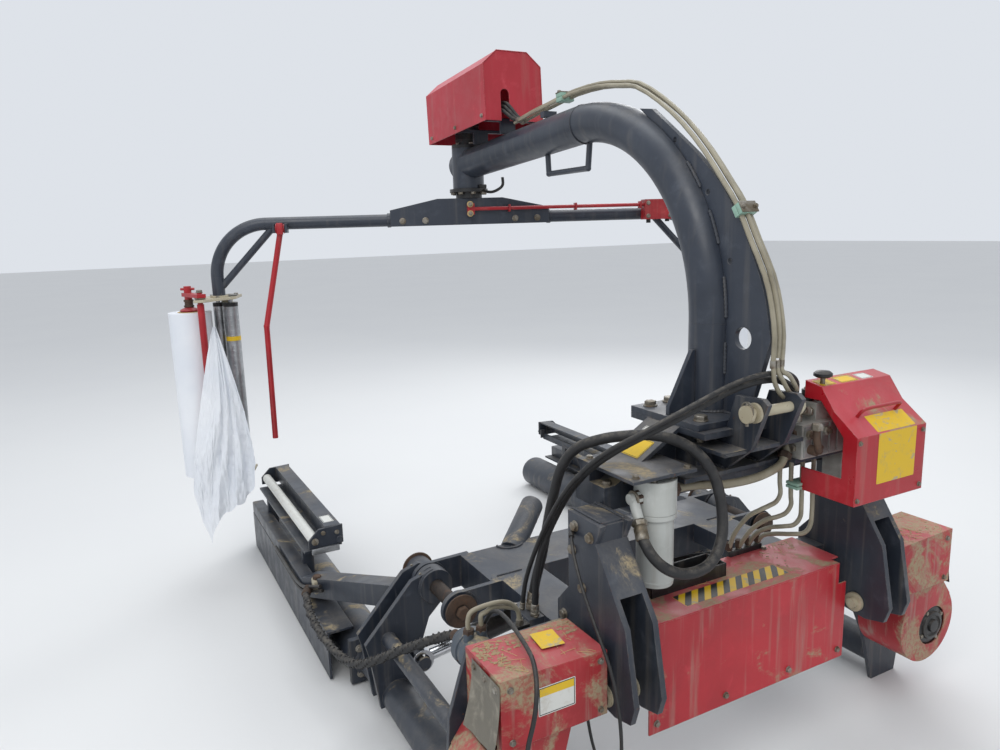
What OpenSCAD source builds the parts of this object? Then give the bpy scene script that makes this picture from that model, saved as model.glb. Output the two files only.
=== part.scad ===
// Mounted satellite bale wrapper for a tractor's three-point linkage.
// X runs across the machine (the right side is -X), Y runs to the rear,
// Z runs up from the ground. Millimetres throughout.

/* [Three-point hitch] */
// Spread between the middles of the two lower hitch pins
hitch_spread = 840; // [830:2:850]
// Height of the lower hitch pins above the ground
hitch_h = 400; // [395:1:405]
// Diameter of the lower hitch pins
lower_pin_d = 28; // [24:1:30]
// Diameter of the upper link pin
top_pin_d = 25; // [20:1:28]

/* [Mast] */
// Outer diameter of the bent mast tube
mast_d = 114; // [100:2:120]
// Bend radius of the mast at its middle line
mast_r = 550; // [530:5:560]
// Angle that the mast turns through
mast_turn = 93.6; // [92:0.2:95]

/* [Satellite] */
// Distance from the hitch pins back to the rotor axis
rotor_y = 1564; // [1555:1:1570]
// Middle height of the film arms' tubes
arm_z = 1475; // [1470:1:1480]
// Outer diameter of the film arms' tubes
arm_d = 48; // [40:1:48]
// Distance from the rotor axis to the upright end of a film arm
arm_reach = 1000; // [990:1:1000]
// Angle that the satellite stands turned, seen from above
sat_turn = -20; // [-20:1:0]
// Diameter of the film roll as it is now
film_d = 160; // [120:5:160]
// Length of the film roll
film_len = 656; // [500:2:656]

/* [Roller arms] */
// Sideways place of each roller arm's pivot
pivot_x = 576; // [574:1:578]
// Height of each roller arm's pivot
pivot_z = 395; // [394:1:396]
// Diameter of the pivot pins
pivot_d = 44; // [36:2:44]
// Sideways place of each bale roller
roller_x = 710; // [706:1:712]
// Diameter of the bale rollers
roller_d = 156; // [140:2:156]
// Diameter of the thick tube in line with the bale roller
torque_d = 100; // [80:5:100]

/* [Hidden] */
$fn = 48;
y_mid = 1114.5;             // moves the frame from the hitch pins to the middle of the machine
paint = "#3d434d";
red = "#b8202c";
cream = "#d8d2b4";
black = "#1d1d1f";
steel = "#9a9c9e";
rust = "#7a4a2c";
hs = hitch_spread / 2;
mast_y = 185;
mast_z0 = 962;            // top of the mast's flange
mast_z1 = 1185;           // start of the bend
roller_z = roller_d / 2;
// lift cylinder, in the plane across the machine, right side (x, z)
eye_f = [-220, 290];      // eye on the frame
eye_a = [-665, 225];      // pin on the roller arm
cyl_y0 = 622;
cyl_v = eye_a - eye_f;
cyl_len = norm(cyl_v);
cyl_ang = atan2(cyl_v[1], cyl_v[0]);
// film head, right side (x, y)
carrier_p = [-1052, 1472];
film_p = [-1117, 1564];
film_z0 = 488;
// stretch rollers: x, y, radius
STRETCH = [[-1021, 1626, 20], [-968, 1600, 27.5]];
// free hoses: points in millimetres from the hitch pins' middle and the ground
HOSE_FILTER = [[-341, 42, 771], [-349, 16, 738], [-342, -8, 706], [-318, -24, 678], [-282, -34, 660], [-242, -38, 656],
    [-202, -36, 662], [-170, -30, 684], [-149, -22, 718], [-140, -12, 762], [-140, -2, 808], [-147, 10, 852], [-164, 26, 890],
    [-190, 46, 920], [-224, 72, 940], [-262, 102, 948], [-300, 138, 944], [-343, 182, 932], [-380, 232, 904], [-399, 272, 850],
    [-404, 302, 776], [-410, 322, 700], [-422, 336, 600], [-440, 345, 520], [-450, 348, 450]];
HOSE_MAIN = [[201, 40, 952], [178, 38, 960], [148, 30, 986], [112, 16, 1022], [65, 2, 1050], [10, -6, 1066], [-60, -8, 1066],
    [-130, -4, 1052], [-200, 6, 1026], [-265, 26, 996], [-322, 60, 962], [-364, 110, 920], [-394, 165, 868], [-412, 216, 805],
    [-426, 260, 730], [-442, 292, 650], [-456, 310, 560], [-460, 316, 448]];
HOSE_THIN = [[201, 76, 964], [186, 70, 974], [158, 46, 1004], [118, 14, 1044], [66, -9, 1072], [10, -20, 1084], [-60, -22, 1084],
    [-135, -18, 1070], [-206, -8, 1044], [-274, 12, 1012], [-336, 46, 974], [-384, 104, 926], [-416, 160, 868], [-436, 212, 800],
    [-448, 258, 725], [-460, 300, 640], [-470, 340, 540], [-472, 362, 448]];
HOSE_LEAD = [[-640, 262, 485], [-632, 252, 512], [-626, 232, 540], [-624, 196, 555], [-627, 140, 557], [-636, 80, 555], [-648, 26, 557],
    [-659, -16, 553], [-672, -50, 532], [-684, -68, 496], [-694, -72, 456], [-702, -66, 412], [-707, -60, 362], [-706, -48, 312],
    [-700, -28, 262]];
HOSE_CABLE = [[-467, 128, 744], [-482, 104, 730], [-494, 74, 700], [-500, 36, 650], [-501, -10, 588], [-497, -60, 510],
    [-493, -84, 430], [-489, -90, 350], [-490, -88, 270], [-486, -70, 200], [-468, -30, 140], [-440, 30, 100], [-412, 84, 92],
    [-398, 124, 118], [-398, 150, 160], [-404, 160, 220], [-410, 164, 290], [-414, 166, 360]];
HOSE_WRAP = [[-835, 1228, 226], [-851, 1196, 224], [-860, 1148, 220], [-867, 1090, 212], [-868, 1030, 202], [-862, 960, 188],
    [-850, 880, 178], [-836, 800, 182], [-818, 720, 204], [-792, 640, 250], [-763, 564, 304], [-730, 488, 354], [-698, 420, 398],
    [-674, 362, 430], [-666, 318, 440]];

// ---- helpers -------------------------------------------------------------
module at() { translate([0, -y_mid, 0]) children(); }
// s = -1 draws the right side as written, s = 1 mirrors it to the left
module side(s) { if (s < 0) children(); else mirror([1, 0, 0]) children(); }
// s = -1 as written, s = 1 turned half a turn about the rotor axis
module turned(s) { translate([0, rotor_y, 0]) rotate([0, 0, sat_turn + (s < 0 ? 0 : 180)]) translate([0, -rotor_y, 0]) children(); }
module bx(x0, x1, y0, y1, z0, z1) { translate([x0, y0, z0]) cube([x1 - x0, y1 - y0, z1 - z0]); }
module cyl_x(y, z, x0, x1, r) { translate([x0, y, z]) rotate([0, 90, 0]) cylinder(h = x1 - x0, r = r); }
module cyl_y(x, z, y0, y1, r) { translate([x, y0, z]) rotate([-90, 0, 0]) cylinder(h = y1 - y0, r = r); }
module cyl_z(x, y, z0, z1, r) { translate([x, y, z0]) cylinder(h = z1 - z0, r = r); }
// plate across the machine's length: points are (y, z)
module plate_x(x0, x1, pts) { translate([x0, 0, 0]) rotate([90, 0, 90]) linear_extrude(x1 - x0) polygon(pts); }
// plate across the machine: points are (x, z)
module plate_y(y0, y1, pts) { translate([0, y1, 0]) rotate([90, 0, 0]) linear_extrude(y1 - y0) polygon(pts); }
module plate_z(z0, z1, pts) { translate([0, 0, z0]) linear_extrude(z1 - z0) polygon(pts); }
// round bar from a to b
module bar(a, b, r) {
    v = b - a;
    translate(a) rotate([0, acos(v[2] / norm(v)), atan2(v[1], v[0])]) cylinder(h = norm(v), r = r);
}
// square tube from a to b, width w across, height h
module beam(a, b, w, h) {
    v = b - a;
    translate(a) rotate([0, 0, atan2(v[1], v[0])]) rotate([0, -atan2(v[2], norm([v[0], v[1]])), 0])
        translate([0, -w / 2, -h / 2]) cube([norm(v), w, h]);
}
// smooth curve through points (Catmull-Rom), k steps for each span
function cr(p, i, t) = let (a = p[max(i - 1, 0)], b = p[i], c = p[i + 1], d = p[min(i + 2, len(p) - 1)])
    0.5 * (2 * b + (c - a) * t + (2 * a - 5 * b + 4 * c - d) * t * t + (3 * b - a - 3 * c + d) * t * t * t);
function curve(p, k) = concat([for (i = [0 : len(p) - 2], j = [0 : k - 1]) cr(p, i, j / k)], [p[len(p) - 1]]);
function unit(v) = v / norm(v);
function tang(c, i) = unit(c[min(i + 1, len(c) - 1)] - c[max(i - 1, 0)]);
function turnto(n, t) = unit(n - (n * t) * t);
function normals(c, n, i) = i == len(c) ? [] : let (m = turnto(n, tang(c, i))) concat([m], normals(c, m, i + 1));
// closed tube of m sides swept along the curve c
module swept(c, r, m) {
    ns = normals(c, abs(tang(c, 0)[2]) < 0.8 ? [0, 0, 1] : [1, 0, 0], 0);
    k = len(c);
    polyhedron(
        [for (i = [0 : k - 1], j = [0 : m - 1]) let (t = tang(c, i), n = ns[i], b = cross(t, n))
            c[i] + r * (cos(360 * j / m) * n + sin(360 * j / m) * b)],
        concat([[for (j = [0 : m - 1]) j]],
            [for (i = [0 : k - 2], j = [0 : m - 1]) [i * m + j, i * m + m + j, i * m + m + (j + 1) % m, i * m + (j + 1) % m]],
            [[for (j = [m - 1 : -1 : 0]) (k - 1) * m + j]]));
}

function dome(r, f, n) = [for (i = [0 : n]) [r - f + f * cos(90 * i / n), f * sin(90 * i / n)]];
// round post from a to b with a rounded end, f the radius of its edge
module bale_stop(a, b, r, f) {
    v = b - a;
    translate(a) rotate([0, acos(v[2] / norm(v)), atan2(v[1], v[0])])
        rotate_extrude() polygon(concat([[0, 0], [r, 0]], [for (p = dome(r, f, 5)) [p[0], p[1] + norm(v) - f]], [[0, norm(v)]]));
}

// ---- fixed frame -----------------------------------------------------------
// lug polygon towards the right pivot, (x, z)
LUG = [[-pivot_x, pivot_z - 50], [-440, 345], [-440, 448], [-pivot_x, pivot_z + 50]];
module main_frame() at() color(paint) {
    difference() {
        union() {
            bx(-470, 470, 560, 750, 345, 448);
            for (s = [-1, 1]) side(s) {
                bx(-440, -360, 200, 560, 380, 448);
                bx(-374, -300, 110, 560, 385, 448);
                for (y = [530, 750]) {
                    plate_y(y, y + 16, LUG);
                    cyl_y(-pivot_x, pivot_z, y, y + 16, 52);
                }
                bx(-470, -440, 546, 560, 345, 448);
                bx(-480, -380, 750, 766, 350, 440);
                // hangers of the lift cylinder's eye
                for (y = [596, 640]) {
                    bx(eye_f[0] - 26, eye_f[0] + 26, y, y + 8, eye_f[1], 345);
                    cyl_y(eye_f[0], eye_f[1], y, y + 8, 26);
                }
                cyl_y(eye_f[0], eye_f[1], 590, 654, 12);
                // bale stop: round-ended tube leaning back and in
                bale_stop([-300, 735, 425], [-130, 881, 508], 38, 16);
            }
            // manifold where the supply hoses end, on the right side beam
            bx(-486, -440, 300, 400, 400, 446);
            bx(-374, 374, 110, 180, 448, 525);
        }
        for (s = [-1, 1]) side(s) cyl_y(-pivot_x, pivot_z, 500, 800, pivot_d / 2 + 0.05);
    }
}
module arm_pivot_pins() at() color(rust) for (s = [-1, 1]) side(s) {
    cyl_y(-pivot_x, pivot_z, 522, 846, pivot_d / 2);
    cyl_y(-pivot_x, pivot_z, 516, 522, 30);
}
// side outline of the hitch bracket, (y, z)
BRACKET = [[-100, 420], [-86, 376], [-30, 362], [60, 372], [200, 380], [200, 545], [150, 600], [150, 790], [20, 790], [41, 743], [-67, 586]];
module hitch_bracket(s) at() color(paint) side(s) difference() {
    union() {
        for (x = [-462, -388]) plate_x(x, x + 14, BRACKET);
        // bent front cover plate between the two side plates
        plate_x(-448, -388, [[41, 743], [-30, 640], [-24, 636], [47, 739], [47, 784], [37, 784]]);
        bx(-448, -388, 40, 150, 784, 790);
        bx(-448, -388, 144, 150, 600, 784);
    }
    cyl_x(0, hitch_h, -470, -370, lower_pin_d / 2 + 0.05);
}
module hitch_bracket_right() hitch_bracket(-1);
module hitch_bracket_left() hitch_bracket(1);
module lower_hitch_pins() at() color(cream) for (s = [-1, 1]) side(s) {
    cyl_x(0, hitch_h, -hs - 47, -hs + 68, lower_pin_d / 2);
    cyl_x(0, hitch_h, -hs - 54, -hs - 43, 23);
    cyl_x(0, hitch_h, -hs + 47, -hs + 56, 26);
}
// upper link clevis, (y, z)
CLEVIS = [[35, 1029], [-48, 1034], [-64, 1022], [-18, 907], [60, 842], [194, 842], [165, 945], [62, 945]];
module mast_pedestal() at() color(paint) difference() {
    union() {
        bx(-374, 374, 130, 250, 772, 830);
        bx(-200, 200, 50, 290, 830, 842);
        for (x = [-62, 48]) plate_x(x, x + 14, CLEVIS);
        bx(-130, 130, -5, 110, 896, 906);
        bx(-110, 110, 110, 300, 842, 930);
        bx(-150, 150, 40, 318, 930, 946);
        for (s = [-1, 1]) side(s) {
            plate_y(130, 250, [[-150, 944], [-150, 932], [-320, 830], [-342, 830]]);
            plate_y(186, 194, [[-110, 842], [-110, 940], [-148, 934], [-308, 838]]);
            bx(-374, -300, 190, 230, 830, 868);
        }
        // shelf that carries the filter
        bx(-374, -190, 20, 240, 868, 876);
        // shelf that carries the valve block
        bx(135, 374, 20, 240, 830, 842);
    }
    cyl_x(-30, 1000, -70, 70, top_pin_d / 2 + 0.05);
}
module top_link_pin() at() color(cream) {
    cyl_x(-30, 1000, -84, 72, top_pin_d / 2);
    cyl_x(-30, 1000, -96, -84, 21);
    cyl_x(-30, 1000, 72, 80, 19);
}

// ---- mast ------------------------------------------------------------------
// bend's centre, and a point at radius r and angle t on it, (y, z)
BEND = [mast_y + mast_r, mast_z1];
function on_bend(r, t) = BEND + r * [cos(t), sin(t)];
MAST_END = on_bend(mast_r, 180 - mast_turn);
mast_slope = mast_turn - 90;
// height of the straight end's middle line at y
function mast_mid(y) = MAST_END[1] - (y - MAST_END[0]) * tan(mast_slope);
fin_in = mast_r + mast_d / 2 + 0.3;
// back edge of the fin, from its top down to the flange, (y, z)
FIN = [[470, 1741], [419, 1733], [330, 1668], [243, 1603], [158, 1527], [86, 1429], [22, 1300], [5, 1253], [-15, 1160], [30, 1020], [64, mast_z0],
    [mast_y - mast_d / 2 - 0.3, mast_z0]];
module mast() at() color(paint) {
    bx(-150, 150, 63, 318, 946, mast_z0);
    // the tube is bent from three lengths, with a hairline between them
    cyl_z(0, mast_y, mast_z0, mast_z1 - 0.3, mast_d / 2);
    translate([0, BEND[0], BEND[1]]) rotate([90, 0, 90]) rotate([0, 0, 180 - mast_turn])
        rotate_extrude(angle = mast_turn) translate([mast_r, 0]) circle(r = mast_d / 2);
    translate([0, MAST_END[0], MAST_END[1]]) rotate([-90 - mast_slope, 0, 0]) translate([0, 0, 0.3]) cylinder(h = 852, r = mast_d / 2);
    // rotor tower
    cyl_z(0, rotor_y, 1590, 1745, 62);
}
module mast_fin() at() color(paint) {
    difference() {
        plate_x(-7.5, 7.5, concat(FIN, [for (t = [180 : -3 : 120]) on_bend(fin_in, t)]));
        cyl_x(71, 1156, -20, 20, 27);
        for (p = [[326, 1643], [201, 1506], [121, 1339]]) cyl_x(p[0], p[1], -20, 20, 7);
    }
    // gussets
    for (a = [-1, 1]) plate_y(mast_y - 6, mast_y + 6, [[a * 57.2, mast_z0], [a * 140, mast_z0], [a * 140, mast_z0 + 20], [a * 68, 1120], [a * 57.2, 1120]]);
    plate_x(-6, 6, [[mast_y + 57.2, mast_z0], [mast_y + 128, mast_z0], [mast_y + 128, mast_z0 + 16], [mast_y + 68, 1120], [mast_y + 57.2, 1120]]);
}
module mast_brackets() at() color(paint) {
    // grab loop under the mast
    bar([0, 958, mast_mid(958) - mast_d / 2 - 0.8], [0, 953, 1604], 9);
    bar([0, 953, 1604], [0, 727, 1604], 9);
    bar([0, 727, 1604], [0, 718, 1676.5], 9);
    for (p = [[0, 953, 1604], [0, 727, 1604]]) translate(p) sphere(r = 9.6);
    // brackets of the motor cover
    for (y = [1225, 1440]) {
        z = mast_mid(y);
        bx(-30, 30, y, y + 10, z + 57.5, z + 98);
        bx(-110, 110, y, y + 10, z + 98, z + 110);
    }
    // clamp block of the pipes
    bx(-24, 24, 938, 962, mast_mid(938) + 57.5, 1800);
}
// pressure pipes along the mast
PIPE = [[1150, 1790], [1050, 1805], [950, 1815], [800, 1830], [664, 1829], [560, 1815], [478, 1798], [380, 1745], [290, 1680], [210, 1605], [140, 1525], [95, 1470], [50, 1390], [4, 1310], [-20, 1240], [-32, 1170], [-30, 1112]];
module mast_pipes() at() color(cream) for (i = [0 : 2]) {
    c = curve([for (p = PIPE) [-14 + 14 * i, p[0], p[1] + (i == 1 ? 10 : 0)]], 2);
    swept(c, 6, 8);
}
module motor_cover() at() color(red) translate([0, 1174, 1800]) rotate([-3.6, 0, 0]) difference() {
    rotate([90, 0, 0]) translate([0, 0, -505]) linear_extrude(505) polygon([[-114, 0], [114, 0], [114, 188], [60, 234], [-60, 234], [-114, 188]]);
    rotate([90, 0, 0]) translate([0, 0, -501]) linear_extrude(497) polygon([[-111, -5], [111, -5], [111, 186], [58, 231], [-58, 231], [-111, 186]]);
    // arched slot for the pipes
    translate([-52, -5, -5]) cube([34, 15, 95]);
    translate([-35, -5, 90]) rotate([-90, 0, 0]) cylinder(h = 15, r = 17);
}
module rotor_motor() at() color(black) {
    cyl_z(0, rotor_y, 1745, 1757, 62);
    cyl_z(0, rotor_y, 1757, 1900, 46);
    bx(-32, 32, rotor_y - 40, rotor_y + 40, 1900, 1940);
}

// ---- front covers and hydraulics -----------------------------------------------
module front_cover() at() color(red) difference() {
    plate_x(-340, 330, [[0, 250], [0, 530], [185, 530], [185, 500], [181, 500], [181, 526], [4, 526], [4, 250]]);
    bx(300, 340, -5, 30, 470, 535);
}
module oil_filter() at() color("#d9dcd8") {
    cyl_z(-270, 72, 775, 856, 50);
    cyl_z(-270, 72, 596, 775, 44);
    cyl_z(-270, 72, 856, 868, 18);
    cyl_x(72, 815, -334, -318, 17);
    cyl_x(72, 815, -346, -216, 13);
    bar([-334, 72, 815], [-340, 44, 775], 12);
}
module valve_block() at() color("#8a8c8a") {
    bx(140, 330, 8, 126, 842, 930);
    bx(205, 300, 24, 108, 930, 975);
    bx(335, 374, 40, 100, 700, 830);
}
// side outline of the valve cover, (y, z)
VCOVER = [[-100, 738], [-100, 912], [-30, 965], [10, 1020], [60, 1030], [60, 738]];
module valve_cover() at() color(red) difference() {
    plate_x(205, 468, VCOVER);
    plate_x(208, 465, [[-97, 700], [-97, 910], [-28, 962], [12, 1017], [70, 1027], [70, 700]]);
    plate_x(200, 212, [[-60, 800], [-60, 905], [-20, 950], [10, 985], [62, 985], [62, 800]]);
    bx(375, 470, 20, 70, 700, 842);
}

// ---- satellite -----------------------------------------------------------------
module rotor_hub() at() color(black) {
    cyl_z(0, rotor_y, 1553, 1576, 52);
    cyl_z(0, rotor_y, 1576, 1589, 76);
}
module satellite_beam() at() color(paint) turned(-1) difference() {
    plate_y(rotor_y - 38, rotor_y + 38, [[-318, 1450], [318, 1450], [318, 1513], [130, 1553], [-130, 1553], [-318, 1513]]);
    for (a = [-1, 1]) translate([a * 318 - 40, rotor_y - 60, arm_z]) rotate([0, 90, 0]) translate([0, 60, 0]) cylinder(h = 80, r = arm_d / 2);
}
module film_arm(s) at() color(paint) turned(s) {
    // the tube is bent from three lengths, with a hairline between them
    cyl_x(rotor_y, arm_z, -799.7, -278, arm_d / 2);
    translate([-800, rotor_y, arm_z - 200]) rotate([90, 0, 0]) rotate([0, 0, 90]) rotate_extrude(angle = 90) translate([200, 0]) circle(r = arm_d / 2);
    cyl_z(-arm_reach, rotor_y, 1198, arm_z - 200.3, arm_d / 2);
    bar([-772, rotor_y, 1462], [-983, rotor_y, 1240], 13.5);
    // ears and pin of the safety bar
    if (s < 0) {
        for (x = [-767, -721]) bx(x, x + 8, rotor_y - 66, rotor_y - 12, 1438, 1474);
        cyl_x(rotor_y - 48, 1454, -763, -717, 7);
    }
}
module film_arm_right() film_arm(-1);
module film_arm_left() film_arm(1);
module trip_rod() at() color(red) turned(-1) {
    cyl_x(rotor_y - 57, 1510, 12, 712, 7);
    bx(-14, 14, rotor_y - 64, rotor_y - 38.5, 1488, 1532);
    bx(708, 828, rotor_y - 78, rotor_y - 25, 1450, 1530);
}
// top and bottom plates of a film head, (x, y)
HEAD = [[-1069, 1440], [-1033, 1440], [-938, 1560], [-938, 1690], [-1023, 1690], [-1053, 1640], [-1069, 1560]];
module film_head(s) at() color(cream) turned(s) difference() {
    union() {
        plate_z(1188, 1198, HEAD);
        plate_z(462, 470, HEAD);
        bx(-1013, -975, 1652, 1688, 470, 1188);
    }
    cyl_z(carrier_p[0], carrier_p[1], 450, 1230, 10.06);
    for (r = STRETCH) cyl_z(r[0], r[1], 450, 1230, 8.06);
}
module film_head_right() film_head(-1);
module film_head_left() film_head(1);
module roll_carrier(s) at() color(red) turned(s) {
    v = film_p - carrier_p;
    cyl_z(carrier_p[0], carrier_p[1], 452, 1225, 10);
    cyl_z(carrier_p[0], carrier_p[1], 480, 1180, 13);
    for (z = [[476, 484], [1205, 1219]]) translate([carrier_p[0], carrier_p[1], z[0]]) rotate([0, 0, atan2(v[1], v[0])]) {
        translate([-18, -17, 0]) cube([norm(v) + 40, 34, z[1] - z[0]]);
    }
    cyl_z(film_p[0], film_p[1], 480, 520, 32);
    cyl_z(film_p[0], film_p[1], 1105, 1150, 32);
    cyl_z(film_p[0], film_p[1], 1150, 1245, 14);
}
module roll_carrier_right() roll_carrier(-1);
module roll_carrier_left() roll_carrier(1);
module film_roll(s) at() color("#eef0f2") turned(s) difference() {
    cyl_z(film_p[0], film_p[1], film_z0, film_z0 + film_len, film_d / 2);
    cyl_z(film_p[0], film_p[1], film_z0 - 5, film_z0 + film_len + 5, 38);
}
module film_roll_right() film_roll(-1);
module film_roll_left() film_roll(1);
module stretch_roller(s, i) at() color(steel) turned(s) {
    r = STRETCH[i];
    cyl_z(r[0], r[1], 484, 1173, r[2]);
    cyl_z(r[0], r[1], 458, 1205, 8);
}
module stretch_roller_outer_right() stretch_roller(-1, 0);
module stretch_roller_inner_right() stretch_roller(-1, 1);
module stretch_roller_outer_left() stretch_roller(1, 0);
module stretch_roller_inner_left() stretch_roller(1, 1);
// safety bar: hangs in front of the arm, pivots about a line along the arm
module safety_bar_right() at() color(red) turned(-1) {
    y = rotor_y - 48;
    difference() {
        union() {
            bar([-740, y, 1446], [-822, y, 1080], 11);
            translate([-822, y, 1080]) sphere(r = 12.2);
            bar([-822, y, 1080], [-826, y, 626], 11);
            cyl_x(y, 1454, -753, -727, 15);
        }
        cyl_x(y, 1454, -770, -700, 7.06);
    }
}
// loose end of film that hangs from the roll, as one thin gathered wedge
module film_tail() at() color("#f2f4f6") turned(-1)
    plate_y(1405, 1431, [[-1004, 1098], [-992, 1098], [-963, 940], [-928, 825], [-898, 660], [-893, 540], [-923, 420], [-968, 390],
        [-1022, 360], [-1080, 282], [-1104, 280], [-1140, 395], [-1142, 460], [-1139, 520], [-1110, 670], [-1066, 850]]);

// ---- roller arms ---------------------------------------------------------------
// swing plate, (x, z)
SWING = [[-598, 442], [-650, 425], [-800, 262], [-790, 225], [-765, 50], [-655, 50], [-640, 190], [-600, 300], [-536, 360], [-530, 420]];
module roller_arm(s) at() color(paint) side(s) {
    difference() {
        union() {
            cyl_y(-pivot_x, pivot_z, 692, 742, 52);
            plate_y(704, 720, SWING);
            cyl_y(-pivot_x, pivot_z, 774, 840, 42);
            plate_y(776, 792, SWING);
            cyl_y(-roller_x, roller_z, 142, 935, torque_d / 2);
            bx(-roller_x - 75, -roller_x + 75, 935, 955, 6, 156);
            cyl_y(-730, 265, 142, 704, 22);
            // back plate of the chain case
            plate_y(130, 142, [[-765, 0], [-655, 0], [-600, 180], [-490, 390], [-490, 530], [-740, 530], [-790, 380], [-800, 250]]);
            // square tube that carries the film clamp
            beam([-640, 780, 352], [-806, 1300, 206], 70, 70);
            // pin of the lift cylinder
            cyl_y(eye_a[0], eye_a[1], 592, 704, 11);
            cyl_y(eye_a[0], eye_a[1], 588, 596, 20);
        }
        cyl_y(-pivot_x, pivot_z, 600, 850, pivot_d / 2 + 0.08);
        cyl_y(-roller_x, roller_z, 930, 960, 20.08);
    }
}
module roller_arm_right() roller_arm(-1);
module roller_arm_left() roller_arm(1);
module drive_cover(s) at() color(red) side(s) difference() {
    union() {
        plate_y(-30, 130, [[-745, 380], [-482, 380], [-482, 532], [-745, 540]]);
        cyl_y(-690, 250, -12, 130, 120);
        plate_y(-12, 130, [[-790, 320], [-620, 160], [-560, 385], [-740, 385]]);
    }
    bx(-741, -486, -26, 130, 384, 528);
    cyl_y(-690, 250, -8, 126, 112);
    plate_y(-8, 126, [[-780, 322], [-622, 172], [-566, 400], [-736, 400]]);
    cyl_y(-715, 235, -40, 20, 60);
}
module drive_cover_right() drive_cover(-1);
module drive_cover_left() drive_cover(1);
module drive_motor(s) at() color("#55606c") side(s) {
    cyl_y(-665, 440, 142, 290, 44);
    cyl_y(-665, 440, 290, 312, 34);
}
module drive_motor_right() drive_motor(-1);
module drive_motor_left() drive_motor(1);
module clamp_beam(s) at() color(paint) side(s) {
    difference() {
        union() {
            bx(-838, -750, 1000, 2250, 163, 171);
            bx(-838, -830, 1000, 2250, 6, 163);
            for (y = [1440, 2060]) bx(-800, -760, y, y + 30, 171, 300);
            bx(-812, -690, 1350, 2170, 300, 308);
            bx(-700, -692, 1350, 2170, 308, 330);
            for (y = [1350, 2162]) bx(-698, -674, y, y + 8, 308, 352);
        }
        beam([-640, 780, 352], [-806, 1300, 206], 70.4, 70.4);
        cyl_y(-686, 338, 1340, 2180, 6.06);
    }
}
module clamp_beam_right() clamp_beam(-1);
module clamp_beam_left() clamp_beam(1);
// film clamp: a jaw with a roller and a top angle, hinged along its inner edge
module clamp_jaw(s) at() color(paint) side(s) {
    for (y = [1334, 2178]) plate_y(y, y + 8, [[-798, 318], [-798, 350], [-760, 388], [-672, 392], [-672, 324], [-690, 318]]);
    cyl_y(-775, 345, 1342, 2178, 17);
    bx(-735, -678, 1342, 2178, 386, 392);
    bx(-735, -729, 1342, 2178, 340, 386);
    for (y = [[1326, 1359], [2161, 2194]]) cyl_y(-686, 338, y[0], y[1], 6);
    for (y = [1326, 2186]) cyl_y(-686, 338, y, y + 8, 12);
}
module clamp_jaw_right() clamp_jaw(-1);
module clamp_jaw_left() clamp_jaw(1);
module bale_roller(s) at() color(paint) side(s) translate([-roller_x, 0, roller_z]) rotate([-90, 0, 0]) {
    translate([0, 0, 942]) cylinder(h = 24, r = 20);
    translate([0, 0, 963]) cylinder(h = 1332, r = roller_d / 2);
    translate([0, 0, 2295]) rotate_extrude() polygon(concat([[0, 0]], dome(roller_d / 2, 34, 6), [[0, 34]]));
}
module bale_roller_right() bale_roller(-1);
module bale_roller_left() bale_roller(1);
// the cylinder's own frame: z along it from the frame's eye, y across
module cyl_frame() translate([eye_f[0], cyl_y0, eye_f[1]]) rotate([0, 90 - cyl_ang, 0]) children();
module lift_barrel(s) at() color(black) side(s) difference() {
    union() {
        translate([eye_f[0], 609, eye_f[1]]) rotate([-90, 0, 0]) cylinder(h = 26, r = 27);
        cyl_frame() translate([0, 0, 14]) cylinder(h = 24, r = 12.9);
        cyl_frame() translate([0, 0, 34]) cylinder(h = 251, r = 32);
    }
    translate([eye_f[0], 580, eye_f[1]]) rotate([-90, 0, 0]) cylinder(h = 80, r = 12.06);
    cyl_frame() translate([0, 0, 42]) cylinder(h = 228, r = 24);
    cyl_frame() translate([0, 0, 260]) cylinder(h = 30, r = 17.06);
}
module lift_barrel_right() lift_barrel(-1);
module lift_barrel_left() lift_barrel(1);
module lift_rod(s) at() color("#c9ccd0") side(s) difference() {
    union() {
        cyl_frame() translate([0, 0, 176]) cylinder(h = cyl_len - 176 - 26, r = 17);
        translate([eye_a[0], 604, eye_a[1]]) rotate([-90, 0, 0]) cylinder(h = 36, r = 34);
    }
    translate([eye_a[0], 600, eye_a[1]]) rotate([-90, 0, 0]) cylinder(h = 44, r = 22);
}
module lift_rod_right() lift_rod(-1);
module lift_rod_left() lift_rod(1);

// ---- free hoses ------------------------------------------------------------------
module filter_hose() at() color(black) swept(curve(HOSE_FILTER, 3), 13, 8);
module main_hose() at() color(black) swept(curve(HOSE_MAIN, 4), 9, 8);
module thin_hose() at() color(black) swept(curve(HOSE_THIN, 4), 6, 8);
module cover_cable() at() color(black) swept(curve(HOSE_CABLE, 4), 4, 8);
module lead_cable() at() color(black) swept(curve(HOSE_LEAD, 4), 5, 8);
module wrapped_hose() at() color(black) swept(curve(HOSE_WRAP, 3), 12, 8);

main_frame();
hitch_bracket_right();
hitch_bracket_left();
lower_hitch_pins();
top_link_pin();
mast_pedestal();
mast();
mast_fin();
mast_brackets();
mast_pipes();
motor_cover();
rotor_motor();
front_cover();
oil_filter();
valve_block();
valve_cover();
arm_pivot_pins();
rotor_hub();
satellite_beam();
film_arm_right();
film_arm_left();
trip_rod();
film_head_right();
film_head_left();
roll_carrier_right();
roll_carrier_left();
film_roll_right();
film_roll_left();
stretch_roller_outer_right();
stretch_roller_inner_right();
stretch_roller_outer_left();
stretch_roller_inner_left();
safety_bar_right();
film_tail();
roller_arm_right();
roller_arm_left();
drive_cover_right();
drive_cover_left();
drive_motor_right();
drive_motor_left();
clamp_beam_right();
clamp_beam_left();
clamp_jaw_right();
clamp_jaw_left();
bale_roller_right();
bale_roller_left();
lift_barrel_right();
lift_barrel_left();
lift_rod_right();
lift_rod_left();
filter_hose();
main_hose();
thin_hose();
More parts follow.
